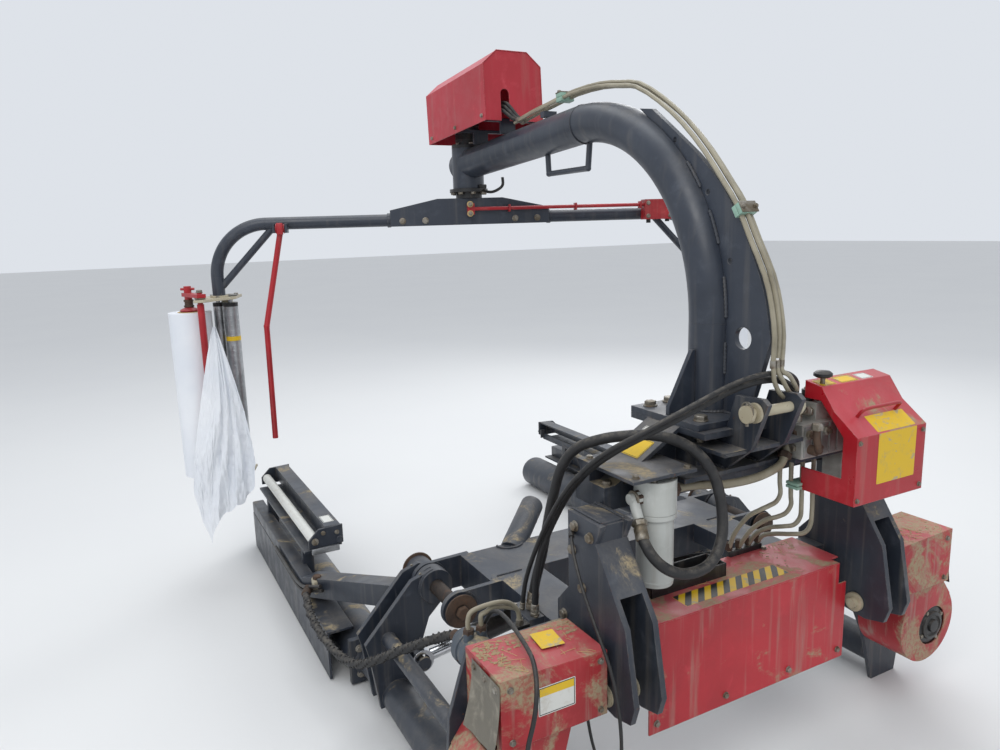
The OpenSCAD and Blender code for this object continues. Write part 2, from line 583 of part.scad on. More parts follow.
cover_cable();
lead_cable();
wrapped_hose();
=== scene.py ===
import bpy, bmesh, math, random
from mathutils import Vector, Matrix, noise


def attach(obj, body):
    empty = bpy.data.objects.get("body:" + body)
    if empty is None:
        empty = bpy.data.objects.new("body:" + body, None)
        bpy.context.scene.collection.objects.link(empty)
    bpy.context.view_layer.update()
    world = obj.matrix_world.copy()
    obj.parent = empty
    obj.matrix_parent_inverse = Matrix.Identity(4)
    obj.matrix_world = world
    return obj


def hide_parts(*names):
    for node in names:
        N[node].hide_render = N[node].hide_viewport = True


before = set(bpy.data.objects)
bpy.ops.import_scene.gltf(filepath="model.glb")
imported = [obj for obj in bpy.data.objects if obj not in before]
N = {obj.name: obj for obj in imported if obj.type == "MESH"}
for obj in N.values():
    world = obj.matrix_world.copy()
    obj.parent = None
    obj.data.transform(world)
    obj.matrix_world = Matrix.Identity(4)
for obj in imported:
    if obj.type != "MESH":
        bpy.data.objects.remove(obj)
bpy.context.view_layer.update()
YM = 1114.5
ROTOR_Y = 1564.0
rnd = random.Random(7)


SAT = math.radians(-20.0)


def turned(p, s):
    """from an arm's own place to the machine's: the satellite's angle, and half a turn for the left arm"""
    a = SAT + (0.0 if s < 0 else math.pi)
    x, y = p[0], p[1] - ROTOR_Y
    return (x * math.cos(a) - y * math.sin(a), ROTOR_Y + x * math.sin(a) + y * math.cos(a), p[2])


# ---------------------------------------------------------------- camera
F0, C0 = 758.536, (-1.369, -1.252, 1.035 + 0.40)
az, pi_, ro = math.radians(27.820), math.radians(11.007), math.radians(-1.685)
Fh = Vector((math.sin(az), math.cos(az), 0)); R = Vector((math.cos(az), -math.sin(az), 0)); Z = Vector((0, 0, 1))
F = math.cos(pi_) * Fh - math.sin(pi_) * Z
U = math.sin(pi_) * Fh + math.cos(pi_) * Z
R2 = math.cos(ro) * R + math.sin(ro) * U
U2 = -math.sin(ro) * R + math.cos(ro) * U
cam = bpy.data.objects.new("camera", bpy.data.cameras.new("camera"))
bpy.context.scene.collection.objects.link(cam)
cam.data.sensor_width = 36.0
cam.data.lens = 36.0 * F0 / 1000.0
cam.data.clip_start = 0.02
cam.matrix_world = Matrix(((R2.x, U2.x, -F.x, C0[0]), (R2.y, U2.y, -F.y, C0[1] - YM / 1000.0),
                           (R2.z, U2.z, -F.z, C0[2]), (0, 0, 0, 1)))
bpy.context.scene.camera = cam


# ---------------------------------------------------------------- materials
class Mat:
    def __init__(s, name):
        s.m = bpy.data.materials.new(name)
        s.m.use_nodes = True
        s.nt = s.m.node_tree
        s.b = s.nt.nodes["Principled BSDF"]
        s.tc = s.nt.nodes.new("ShaderNodeTexCoord").outputs["Object"]

    def n(s, kind, **kw):
        n = s.nt.nodes.new("ShaderNode" + kind)
        for k, v in kw.items():
            setattr(n, k, v)
        return n

    def l(s, a, b):
        s.nt.links.new(a, b)

    def val(s, sock, v):
        if hasattr(v, "is_output"):
            s.l(v, sock)
        else:
            sock.default_value = v

    def noise(s, scale, detail=4.0, rough=0.55, dist=0.0, stretch=None):
        n = s.n("TexNoise")
        src = s.tc
        if stretch:
            mp = s.n("Mapping")
            mp.inputs["Scale"].default_value = stretch
            s.l(src, mp.inputs["Vector"])
            src = mp.outputs["Vector"]
        s.l(src, n.inputs["Vector"])
        n.inputs["Scale"].default_value = scale
        n.inputs["Detail"].default_value = detail
        n.inputs["Roughness"].default_value = rough
        n.inputs["Distortion"].default_value = dist
        return n.outputs["Fac"]

    def ramp(s, v, lo, hi, a=0.0, b=1.0):
        """smooth step of v between lo and hi"""
        n = s.n("MapRange", interpolation_type="SMOOTHSTEP")
        s.l(v, n.inputs["Value"])
        for k, x in (("From Min", lo), ("From Max", hi), ("To Min", a), ("To Max", b)):
            n.inputs[k].default_value = x
        return n.outputs["Result"]

    def math(s, op, a, b=0.0):
        n = s.n("Math", operation=op, use_clamp=(op in ("ADD", "SUBTRACT", "MULTIPLY")))
        s.val(n.inputs[0], a)
        s.val(n.inputs[1], b)
        return n.outputs[0]

    def mix(s, f, a, b):
        n = s.n("Mix", data_type="RGBA")
        s.val(n.inputs["Factor"], f)
        for sock, v in ((n.inputs[6], a), (n.inputs[7], b)):
            if hasattr(v, "is_output"):
                s.l(v, sock)
            else:
                sock.default_value = (*v, 1.0)
        return n.outputs[2]

    def up(s):
        g = s.n("NewGeometry")
        sp = s.n("SeparateXYZ")
        s.l(g.outputs["Normal"], sp.inputs[0])
        return sp.outputs["Z"]

    def bevel(s, r, k=4):
        n = s.n("Bevel", samples=k)
        n.inputs["Radius"].default_value = r
        return n.outputs["Normal"]

    def edge(s, bev, lo=0.02, hi=0.16):
        """how much the rounded normal turns away from the face"""
        g = s.n("NewGeometry")
        d = s.n("VectorMath", operation="DOT_PRODUCT")
        s.l(g.outputs["Normal"], d.inputs[0])
        s.l(bev, d.inputs[1])
        inv = s.math("SUBTRACT", 1.0, d.outputs["Value"])
        return s.ramp(inv, lo, hi)

    def bump(s, h, dist, strength=1.0, normal=None):
        n = s.n("Bump")
        n.inputs["Strength"].default_value = strength
        n.inputs["Distance"].default_value = dist
        s.l(h, n.inputs["Height"])
        if normal is not None:
            s.l(normal, n.inputs["Normal"])
        return n.outputs["Normal"]


RUST = (0.115, 0.045, 0.018)
DUST = (0.30, 0.26, 0.205)
MUD = (0.40, 0.325, 0.205)


def paint(name, base, light, dark, rough=0.42, edge=(0.22, 0.21, 0.20), edge_amt=0.55, dust=0.45, mud=0.0, streak=0.25,
          rust=0.35, top_fade_and_highlight=None, top_fade_and_highlight_amt=0.0, scale=1.0, bevel=0.0035, metal=0.0, low_mud=0.0, spec=0.5, grease=0.0, lift_up=0.13):
    M = Mat(name)
    big = M.noise(2.6 * scale, 5.0, 0.6, 0.4)
    mid = M.noise(17.0 * scale, 6.0, 0.62, 0.3)
    fine = M.noise(140.0 * scale, 5.0, 0.65)
    col = M.mix(M.ramp(big, 0.32, 0.68), dark, base)
    col = M.mix(M.ramp(mid, 0.52, 0.82, 0.0, 0.75), col, light)
    nz = M.up()
    upf = M.ramp(nz, 0.25, 0.9)
    side = M.math("SUBTRACT", 1.0, M.ramp(nz, 0.15, 0.6))
    # upward faces lighter: a real sun fade on the red paints, a painted highlight from the sky on the grey paints
    if top_fade_and_highlight is not None:
        f = M.math("MULTIPLY", upf, M.ramp(M.noise(5.0, 6.0, 0.6, 0.8), 0.25, 0.75, top_fade_and_highlight_amt * 0.35, top_fade_and_highlight_amt))
        col = M.mix(f, col, top_fade_and_highlight)
    # rain streaks run down the upright faces
    st = M.ramp(M.noise(1.0, 5.0, 0.6, 0.2, stretch=(34.0, 34.0, 1.7)), 0.50, 0.72)
    st = M.math("MULTIPLY", M.math("MULTIPLY", st, side), streak)
    col = M.mix(st, col, DUST)
    # fine scratches
    sc = M.ramp(M.noise(1.0, 3.0, 0.8, 0.0, stretch=(160.0, 22.0, 60.0)), 0.70, 0.76, 0.0, 0.28)
    col = M.mix(sc, col, light)
    # chips: small spots through to primer and rust
    ch = M.ramp(M.noise(46.0 * scale, 8.0, 0.72, 0.2), 0.665 - 0.03 * rust, 0.70 - 0.03 * rust)
    area = M.ramp(M.noise(3.7, 3.0, 0.5), 0.45, 0.66)
    ch = M.math("MULTIPLY", M.math("MULTIPLY", ch, area), min(1.0, rust * 2.2))
    col = M.mix(ch, col, RUST)
    bev = M.bevel(bevel)
    ed = M.edge(bev)
    brk = M.ramp(M.noise(38.0 * scale, 7.0, 0.7), 0.42, 0.62)
    em = M.math("MULTIPLY", M.math("MULTIPLY", ed, brk), edge_amt)
    col = M.mix(em, col, edge)
    em2 = M.math("MULTIPLY", M.math("MULTIPLY", ed, M.ramp(M.noise(21.0 * scale, 6.0, 0.7), 0.56, 0.66)), min(1.0, rust * 1.6))
    col = M.mix(em2, col, RUST)
    # dust lies on top
    dm = M.math("MULTIPLY", upf, M.ramp(M.noise(7.0, 7.0, 0.65, 0.5), 0.35, 0.78, 0.12, 1.0))
    dm = M.math("MULTIPLY", dm, M.ramp(fine, 0.3, 0.62, 0.45, 1.0))
    dm = M.math("MULTIPLY", dm, dust)
    col = M.mix(dm, col, DUST)
    height = M.math("MULTIPLY", fine, 0.25)
    rgh = M.ramp(mid, 0.3, 0.75, rough - 0.07, rough + 0.12)
    if mud > 0 or low_mud > 0:
        mm = M.noise(5.5, 8.0, 0.68, 0.9)
        lift = M.ramp(nz, -0.2, 0.85, -0.02, lift_up)
        if low_mud > 0:
            sp = M.n("SeparateXYZ")
            M.l(M.tc, sp.inputs[0])
            low = M.ramp(sp.outputs["Z"], 0.05, 0.55, 0.10 * low_mud, 0.0)
            lift = M.math("ADD", lift, low)
        v = M.n("Math", operation="ADD")
        M.l(mm, v.inputs[0])
        M.l(lift, v.inputs[1])
        thr = 0.70 - 0.17 * mud
        md = M.ramp(v.outputs[0], thr, thr + 0.10)
        spk = M.ramp(M.noise(95.0, 4.0, 0.7), 0.36, 0.60, 0.35, 1.0)
        md = M.math("MULTIPLY", md, spk)
        mcol = M.mix(M.noise(30.0, 5.0, 0.7), (0.27, 0.215, 0.13), MUD)
        col = M.mix(md, col, mcol)
        height = M.math("ADD", height, M.math("MULTIPLY", md, 0.8))
        rgh = M.math("ADD", rgh, M.math("MULTIPLY", md, 0.45))
    rgh = M.math("ADD", rgh, M.math("MULTIPLY", dm, 0.5))
    if grease > 0:
        gm = M.math("MULTIPLY", M.ramp(M.noise(9.0, 6.0, 0.7, 0.6), 0.47, 0.68), grease)
        col = M.mix(gm, col, (0.012, 0.010, 0.008))
        rgh = M.math("SUBTRACT", rgh, M.math("MULTIPLY", gm, 0.12))
    M.l(col, M.b.inputs["Base Color"])
    M.l(rgh, M.b.inputs["Roughness"])
    M.l(M.bump(height, 0.0012, 0.45, bev), M.b.inputs["Normal"])
    M.b.inputs["Metallic"].default_value = metal
    M.b.inputs["Specular IOR Level"].default_value = spec
    return M.m


def metal(name, col, dark, rough, rust=0.2, scale=1.0, metallic=1.0, band=None, grime=0.4, brush=False):
    M = Mat(name)
    a = M.noise(14.0 * scale, 6.0, 0.65, 0.4)
    c = M.mix(M.ramp(a, 0.35, 0.68), dark, col)
    g = M.math("MULTIPLY", M.ramp(M.noise(5.0, 6.0, 0.7, 0.6), 0.48, 0.72), grime)
    c = M.mix(g, c, (0.06, 0.05, 0.04))
    r = M.math("MULTIPLY", M.ramp(M.noise(33.0 * scale, 8.0, 0.75, 0.2), 0.56, 0.64), rust)
    c = M.mix(r, c, (0.16, 0.07, 0.03))
    bev = M.bevel(0.002)
    M.l(c, M.b.inputs["Base Color"])
    if brush:
        f = M.noise(1.0, 3.0, 0.7, 0.0, stretch=(220.0, 220.0, 14.0))
    else:
        f = M.noise(120.0 * scale, 5.0, 0.6)
    M.l(M.ramp(f, 0.2, 0.8, rough - 0.06, rough + 0.14), M.b.inputs["Roughness"])
    M.l(M.bump(f, 0.0006, 0.3, bev), M.b.inputs["Normal"])
    M.b.inputs["Metallic"].default_value = metallic
    return M.m


def rubber(name, col=(0.013, 0.013, 0.014), light=(0.05, 0.05, 0.052), rough=0.55, dust=0.3, worn=0.4):
    M = Mat(name)
    a = M.noise(24.0, 6.0, 0.65, 0.3)
    c = M.mix(M.ramp(a, 0.45, 0.75, 0.0, worn), col, light)
    d = M.math("MULTIPLY", M.ramp(M.up(), 0.0, 0.9), M.ramp(M.noise(60.0, 5.0, 0.7), 0.35, 0.7))
    c = M.mix(M.math("MULTIPLY", d, dust), c, DUST)
    M.l(c, M.b.inputs["Base Color"])
    M.l(M.ramp(a, 0.3, 0.7, rough - 0.08, rough + 0.15), M.b.inputs["Roughness"])
    M.l(M.bump(M.noise(420.0, 3.0, 0.6), 0.0006, 0.4), M.b.inputs["Normal"])
    return M.m


# the lighter top colour given to these grey paints is a painted highlight
m_grey = paint("grey_paint", (0.033, 0.041, 0.058), (0.072, 0.084, 0.108), (0.021, 0.027, 0.040), rough=0.36, dust=0.28, rust=0.30,
               top_fade_and_highlight=(0.12, 0.138, 0.168), top_fade_and_highlight_amt=0.30, streak=0.10)
m_grey_low = paint("grey_paint_low", (0.029, 0.036, 0.050), (0.072, 0.082, 0.102), (0.018, 0.023, 0.034), rough=0.40, dust=0.32,
                   rust=0.55, mud=0.05, low_mud=0.35, top_fade_and_highlight=(0.11, 0.128, 0.156), top_fade_and_highlight_amt=0.24, streak=0.22)
m_grey_deck = paint("grey_paint_deck", (0.034, 0.041, 0.056), (0.076, 0.086, 0.106), (0.021, 0.026, 0.037), rough=0.40, dust=0.60,
                    rust=0.60, mud=0.30, top_fade_and_highlight=(0.13, 0.14, 0.16), top_fade_and_highlight_amt=0.35, streak=0.18)
m_red = paint("red_paint", (0.46, 0.012, 0.022), (0.56, 0.045, 0.06), (0.33, 0.008, 0.015), rough=0.34, edge=(0.62, 0.30, 0.27),
              edge_amt=0.5, dust=0.30, mud=0.10, streak=0.20, rust=0.18, top_fade_and_highlight=(0.56, 0.095, 0.125), top_fade_and_highlight_amt=0.75)
m_red_front = paint("red_paint_front", (0.46, 0.012, 0.022), (0.56, 0.045, 0.06), (0.33, 0.008, 0.015), rough=0.36, edge=(0.62, 0.30, 0.27),
                    edge_amt=0.5, dust=0.50, mud=0.55, low_mud=0.8, streak=0.45, rust=0.18, top_fade_and_highlight=(0.56, 0.095, 0.125), top_fade_and_highlight_amt=0.6)
m_red_top = paint("red_paint_faded", (0.47, 0.022, 0.040), (0.55, 0.07, 0.09), (0.36, 0.015, 0.025), rough=0.46,
                  edge=(0.62, 0.34, 0.30), edge_amt=0.45, dust=0.22, mud=0.0, streak=0.12, rust=0.10,
                  top_fade_and_highlight=(0.58, 0.16, 0.19), top_fade_and_highlight_amt=0.95)
m_red_mud = paint("red_paint_muddy", (0.45, 0.016, 0.024), (0.55, 0.06, 0.07), (0.30, 0.010, 0.014), rough=0.42,
                  edge=(0.55, 0.28, 0.22), edge_amt=0.5, dust=0.24, mud=1.34, low_mud=0.20, streak=0.60, rust=0.28, lift_up=0.0,
                  top_fade_and_highlight=(0.55, 0.13, 0.15), top_fade_and_highlight_amt=0.40)
m_red_bar = paint("red_bar_paint", (0.40, 0.010, 0.018), (0.52, 0.05, 0.05), (0.28, 0.008, 0.012), rough=0.36, dust=0.25,
                  rust=0.35, streak=0.12, top_fade_and_highlight=(0.5, 0.10, 0.12), top_fade_and_highlight_amt=0.4, bevel=0.002)
m_cream = paint("cream_enamel", (0.50, 0.46, 0.34), (0.60, 0.57, 0.46), (0.36, 0.31, 0.21), rough=0.45, edge=(0.30, 0.20, 0.12),
                dust=0.3, rust=0.55, streak=0.3, mud=0.05, grease=0.25)
m_pipe = paint("cream_pipe", (0.34, 0.31, 0.23), (0.46, 0.43, 0.34), (0.22, 0.19, 0.13), rough=0.42, dust=0.3, rust=0.35,
               streak=0.2, bevel=0.001, grease=0.30)
m_black = paint("black_greasy", (0.014, 0.014, 0.015), (0.05, 0.05, 0.052), (0.008, 0.008, 0.009), rough=0.40, dust=0.3, rust=0.5,
                streak=0.15, grease=0.5, bevel=0.002)
m_motor = paint("motor_paint", (0.060, 0.080, 0.105), (0.12, 0.14, 0.16), (0.035, 0.045, 0.06), rough=0.46, dust=0.45, rust=1.0,
                streak=0.3, grease=0.35, mud=0.25)
m_steel = metal("galvanised_steel", (0.50, 0.51, 0.52), (0.30, 0.31, 0.32), 0.34, rust=0.12, brush=True, grime=0.25)
m_alu = metal("valve_casting", (0.36, 0.36, 0.35), (0.20, 0.20, 0.19), 0.46, rust=0.10, grime=0.5, metallic=0.75)
m_block = metal("valve_block_alloy", (0.50, 0.50, 0.47), (0.34, 0.33, 0.30), 0.50, rust=0.04, grime=0.22, metallic=0.55)
m_chrome = metal("hard_chrome", (0.72, 0.73, 0.75), (0.55, 0.56, 0.58), 0.14, rust=0.03, grime=0.15)
m_rust = metal("rusty_steel", (0.115, 0.070, 0.046), (0.055, 0.036, 0.028), 0.72, rust=0.45, metallic=0.25, grime=0.7)
m_pin = metal("pivot_pin_steel", (0.070, 0.050, 0.038), (0.034, 0.028, 0.025), 0.58, rust=0.28, metallic=0.35, grime=0.7)
m_bolt = metal("zinc_bolt", (0.36, 0.34, 0.30), (0.17, 0.14, 0.10), 0.48, rust=0.55, metallic=0.8, grime=0.5, scale=2.0)
m_hose = rubber("hose_rubber")
m_flap = rubber("flap_rubber", (0.15, 0.138, 0.112), (0.30, 0.275, 0.225), 0.8, dust=0.6, worn=0.9)
m_plug = rubber("black_plastic", (0.012, 0.012, 0.013), (0.03, 0.03, 0.032), 0.45, dust=0.15)
m_filter = paint("filter_enamel", (0.54, 0.555, 0.53), (0.62, 0.63, 0.61), (0.42, 0.43, 0.40), rough=0.40, edge=(0.4, 0.36, 0.28),
                 dust=0.35, rust=0.22, streak=0.30, bevel=0.003)


def film_mat(name, rough, trans):
    M = Mat(name)
    a = M.noise(3.0, 4.0, 0.5)
    c = M.mix(M.ramp(a, 0.3, 0.7), (0.74, 0.77, 0.82), (0.86, 0.875, 0.90))
    M.l(c, M.b.inputs["Base Color"])
    M.b.inputs["Roughness"].default_value = rough
    M.b.inputs["Specular IOR Level"].default_value = 0.55
    M.b.inputs["Subsurface Weight"].default_value = 0.10
    M.b.inputs["Subsurface Radius"].default_value = (0.01, 0.01, 0.01)
    if trans:
        M.b.inputs["Coat Weight"].default_value = 0.25
        M.b.inputs["Coat Roughness"].default_value = 0.2
        cr = M.noise(26.0, 8.0, 0.72, 1.8)
        M.l(M.bump(cr, 0.004, 0.55), M.b.inputs["Normal"])
    else:
        w = M.noise(1.0, 3.0, 0.6, 0.0, stretch=(3.0, 3.0, 90.0))
        M.l(M.bump(w, 0.0006, 0.35), M.b.inputs["Normal"])
    return M.m


m_film = film_mat("film_sheet", 0.32, True)
m_film_roll = film_mat("film_roll", 0.40, False)


def flat_mat(name, col, rough=0.45, wear=0.3, wear_col=(0.35, 0.30, 0.2), peel=None):
    """printed vinyl, sun-worn"""
    M = Mat(name)
    a = M.noise(40.0, 7.0, 0.7, 0.5)
    c = M.mix(M.ramp(a, 0.48, 0.70, 0.0, wear), col, wear_col)
    if peel is not None:
        c = M.mix(M.ramp(M.noise(19.0, 8.0, 0.75, 0.8), 0.56, 0.60, 0.0, 0.9), c, peel)
    M.l(c, M.b.inputs["Base Color"])
    M.b.inputs["Roughness"].default_value = rough
    M.l(M.bump(a, 0.0004, 0.3), M.b.inputs["Normal"])
    return M.m


m_yel = flat_mat("yellow_vinyl", (0.72, 0.47, 0.01), 0.42, 0.35, (0.50, 0.36, 0.06))
m_yel_worn = flat_mat("yellow_vinyl_peeling", (0.70, 0.45, 0.01), 0.5, 0.5, (0.42, 0.32, 0.12), peel=(0.40, 0.34, 0.22))
m_wht = flat_mat("white_vinyl", (0.66, 0.66, 0.62), 0.42, 0.35, (0.42, 0.36, 0.26))
m_blk = flat_mat("black_vinyl", (0.02, 0.02, 0.022), 0.45, 0.3, (0.12, 0.10, 0.07))
m_green = flat_mat("green_clamp", (0.26, 0.42, 0.34), 0.5, 0.4, (0.22, 0.22, 0.16))
m_straw = flat_mat("straw", (0.52, 0.38, 0.17), 0.8, 0.4, (0.30, 0.2, 0.09))


# ---------------------------------------------------------------- mesh kit
class Piece:
    """collects solids into one mesh object; every solid carries its own material"""

    def __init__(s, name, body, slot=None, turn=0):
        s.name, s.body, s.slot, s.turn = name, body, slot, turn
        s.v, s.f, s.mi, s.sm, s.mats = [], [], [], [], []

    def midx(s, m):
        if m not in s.mats:
            s.mats.append(m)
        return s.mats.index(m)

    def add_bm(s, bm, m, smooth=True):
        i = s.midx(m)
        base = len(s.v)
        bm.verts.index_update()
        s.v += [v.co.copy() for v in bm.verts]
        for f in bm.faces:
            s.f.append([base + v.index for v in f.verts])
            s.mi.append(i)
            s.sm.append(smooth)
        bm.free()

    # --- solids, in hitch millimetres
    def box(s, x0, x1, y0, y1, z0, z1, m, bev=2.0, seg=2, rot=None, pivot=None, smooth=True):
        bm = bmesh.new()
        bmesh.ops.create_cube(bm, size=1.0)
        bmesh.ops.scale(bm, vec=(abs(x1 - x0), abs(y1 - y0), abs(z1 - z0)), verts=bm.verts)
        w = min(bev, 0.42 * min(abs(x1 - x0), abs(y1 - y0), abs(z1 - z0)))
        if w > 0.05:
            bmesh.ops.bevel(bm, geom=list(bm.edges), offset=w, segments=seg, profile=0.5, affect="EDGES")
        c = Vector(((x0 + x1) / 2, (y0 + y1) / 2, (z0 + z1) / 2))
        mat = Matrix.Translation(c)
        if rot is not None:
            pv = Vector(pivot) if pivot is not None else c
            mat = Matrix.Translation(pv) @ rot @ Matrix.Translation(-pv) @ mat
        bm.transform(mat)
        s.finish_mm(bm, m, smooth)

    def finish_mm(s, bm, m, smooth=True):
        for v in bm.verts:
            v.co = Vector((v.co.x / 1000.0, (v.co.y - YM) / 1000.0, v.co.z / 1000.0))
        s.add_bm(bm, m, smooth)

    def prism(s, pts, axis, a0, a1, m, bev=1.5, seg=2, smooth=True, xf=None):
        """extrude a polygon; axis 'x': pts are (y, z); 'y': (x, z); 'z': (x, y)"""
        bm = bmesh.new()
        lo, hi = [], []
        for (a, b) in pts:
            for k, L in ((a0, lo), (a1, hi)):
                co = (k, a, b) if axis == "x" else (a, k, b) if axis == "y" else (a, b, k)
                L.append(bm.verts.new(co))
        bm.faces.new(lo)
        bm.faces.new(list(reversed(hi)))
        n = len(pts)
        for i in range(n):
            j = (i + 1) % n
            bm.faces.new((lo[j], lo[i], hi[i], hi[j]))
        bmesh.ops.recalc_face_normals(bm, faces=bm.faces)
        if bev > 0:
            bmesh.ops.bevel(bm, geom=list(bm.edges), offset=bev, segments=seg, profile=0.5, affect="EDGES", clamp_overlap=True)
        if xf is not None:
            bm.transform(xf)
        s.finish_mm(bm, m, smooth)

    def lathe(s, base, axis, prof, m, n=32, smooth=True):
        """revolve (r, h) about the line through base along axis"""
        w = Vector(axis).normalized()
        a = w.orthogonal().normalized()
        b = w.cross(a)
        o = Vector(base)
        bm = bmesh.new()
        rings = []
        for r, h in prof:
            if r < 1e-6:
                rings.append([bm.verts.new(o + w * h)])
            else:
                rings.append([bm.verts.new(o + w * h + a * (r * math.cos(2 * math.pi * i / n)) + b * (r * math.sin(2 * math.pi * i / n)))
                              for i in range(n)])
        for q, t in zip(rings, rings[1:]):
            for i in range(n):
                j = (i + 1) % n
                if len(q) == 1 and len(t) == 1:
                    continue
                if len(q) == 1:
                    bm.faces.new((q[0], t[i], t[j]))
                elif len(t) == 1:
                    bm.faces.new((q[i], q[j], t[0]))
                else:
                    bm.faces.new((q[i], q[j], t[j], t[i]))
        bmesh.ops.recalc_face_normals(bm, faces=bm.faces)
        s.finish_mm(bm, m, smooth)

    def cyl(s, a, b, r, m, n=28, ch=1.0, r2=None):
        a, b = Vector(a), Vector(b)
        L = (b - a).length
        r2 = r if r2 is None else r2
        ch = min(ch, 0.4 * L, 0.45 * min(r, r2))
        s.lathe(a, b - a, [(0, 0), (r - ch, 0), (r - 0.3 * ch, 0.3 * ch), (r, ch), (r2, L - ch), (r2 - 0.3 * ch, L - 0.3 * ch), (r2 - ch, L), (0, L)], m, n)

    def ring(s, a, b, r, ri, m, n=28, ch=0.8):
        a, b = Vector(a), Vector(b)
        L = (b - a).length
        ch = min(ch, 0.4 * L, 0.45 * (r - ri))
        s.lathe(a, b - a, [(ri, 0), (r - ch, 0), (r, ch), (r, L - ch), (r - ch, L), (ri, L), (ri, 0)], m, n)

    def hexa(s, base, axis, af, h, m, spin=0.0):
        """hex bolt head or nut, af across the flats"""
        w = Vector(axis).normalized()
        a = w.orthogonal().normalized()
        b = w.cross(a)
        R_ = af / math.sqrt(3)
        bm = bmesh.new()
        lo, hi, top = [], [], []
        for i in range(6):
            t = math.pi / 3 * i + spin
            d = a * math.cos(t) + b * math.sin(t)
            lo.append(bm.verts.new(Vector(base) + d * R_))
            hi.append(bm.verts.new(Vector(base) + d * R_ + w * h * 0.86))
            top.append(bm.verts.new(Vector(base) + d * R_ * 0.87 + w * h))
        bm.faces.new(lo)
        for i in range(6):
            j = (i + 1) % 6
            bm.faces.new((lo[i], lo[j], hi[j], hi[i]))
            bm.faces.new((hi[i], hi[j], top[j], top[i]))
        bm.faces.new(top)
        bmesh.ops.recalc_face_normals(bm, faces=bm.faces)
        s.finish_mm(bm, m, False)

    def bolt(s, p, axis, d, m=None, shank=0.0, washer=True, spin=None):
        """hex bolt seated at p, head outwards along axis; d is the thread size"""
        m = m or m_bolt
        w = Vector(axis).normalized()
        p = Vector(p)
        h0 = 0.0
        if washer:
            s.cyl(p - w * 0.5, p + w * d * 0.18, d * 1.08, m, 20, 0.4)
            h0 = d * 0.18
        s.hexa(p + w * h0, axis, d * 1.6, d * 0.65, m, rnd.random() if spin is None else spin)
        if shank:
            s.cyl(p + w * (h0 + d * 0.6), p + w * (h0 + d * 0.65 + shank), d * 0.5, m, 14, 0.8)

    def tube(s, pts, r, m, n=12, cap=True, wob=0.0):
        """sweep a circle along points (hitch mm); r may be a list"""
        pts = [Vector(p) for p in pts]
        k = len(pts)
        rr = r if hasattr(r, "__len__") else [r] * k
        bm = bmesh.new()
        T = [(pts[min(i + 1, k - 1)] - pts[max(i - 1, 0)]).normalized() for i in range(k)]
        nrm = T[0].orthogonal().normalized()
        rings = []
        for i in range(k):
            nrm = (nrm - T[i] * nrm.dot(T[i])).normalized()
            bi = T[i].cross(nrm)
            q = rr[i] * (1 + wob * math.sin(i * 2.1))
            rings.append([bm.verts.new(pts[i] + nrm * (q * math.cos(2 * math.pi * j / n)) + bi * (q * math.sin(2 * math.pi * j / n)))
                          for j in range(n)])
        for a, b in zip(rings, rings[1:]):
            for j in range(n):
                jj = (j + 1) % n
                bm.faces.new((a[j], a[jj], b[jj], b[j]))
        if cap:
            bm.faces.new(list(reversed(rings[0])))
            bm.faces.new(rings[-1])
        bmesh.ops.recalc_face_normals(bm, faces=bm.faces)
        s.finish_mm(bm, m)

    def sheet_loft(s, rows, m, th=0.0, closed=False):
        """skin a grid of points (hitch mm)"""
        bm = bmesh.new()
        vs = [[bm.verts.new(p) for p in r] for r in rows]
        for a, b in zip(vs, vs[1:]):
            k = len(a)
            for j in range(k if closed else k - 1):
                jj = (j + 1) % k
                bm.faces.new((a[j], a[jj], b[jj], b[j]))
        bmesh.ops.recalc_face_normals(bm, faces=bm.faces)
        if th:
            bmesh.ops.solidify(bm, geom=list(bm.faces), thickness=th)
        s.finish_mm(bm, m)

    def weld(s, pts, r, m, step=3.0):
        """weld bead: a rippled half-sunk cord"""
        path = resample(pts, step)
        rr = [r * (1 + 0.16 * math.sin(i * 1.9) + 0.10 * (rnd.random() - 0.5)) for i in range(len(path))]
        rr[0] *= 0.6
        rr[-1] *= 0.6
        s.tube(path, rr, m, 8)

    def done(s, angle=40.0, replaces=()):
        me = bpy.data.meshes.new(s.name)
        if s.turn:
            a = SAT + (0.0 if s.turn < 0 else math.pi)
            m4 = Matrix.Translation((0, (ROTOR_Y - YM) / 1000, 0)) @ Matrix.Rotation(a, 4, "Z") @ Matrix.Translation((0, -(ROTOR_Y - YM) / 1000, 0))
            s.v = [m4 @ v for v in s.v]
        me.from_pydata([tuple(v) for v in s.v], [], s.f)
        me.polygons.foreach_set("material_index", s.mi)
        me.polygons.foreach_set("use_smooth", s.sm)
        for m in s.mats:
            me.materials.append(m)
        me.update()
        me.set_sharp_from_angle(angle=math.radians(angle))
        o = bpy.data.objects.new(s.name, me)
        bpy.context.scene.collection.objects.link(o)
        if s.body:
            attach(o, s.body)
        if replaces:
            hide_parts(*replaces)
        return o


def resample(pts, step):
    pts = [Vector(p) for p in pts]
    out = [pts[0]]
    for a, b in zip(pts, pts[1:]):
        k = max(1, int(round((b - a).length / step)))
        out += [a.lerp(b, i / k) for i in range(1, k + 1)]
    return out


def curve(pts, k):
    """Catmull-Rom through the points, k steps a span, the same line as the CAD route"""
    p = [Vector(q) for q in pts]
    out = []
    for i in range(len(p) - 1):
        a, b, c, d = p[max(i - 1, 0)], p[i], p[i + 1], p[min(i + 2, len(p) - 1)]
        for j in range(k):
            t = j / k
            out.append(0.5 * (2 * b + (c - a) * t + (2 * a - 5 * b + 4 * c - d) * t * t + (3 * b - a - 3 * c + d) * t ** 3))
    out.append(p[-1])
    return out


def sd(s, p):
    """mirror a right-hand point to the left when s is 1"""
    return (p[0] if s < 0 else -p[0], p[1], p[2])


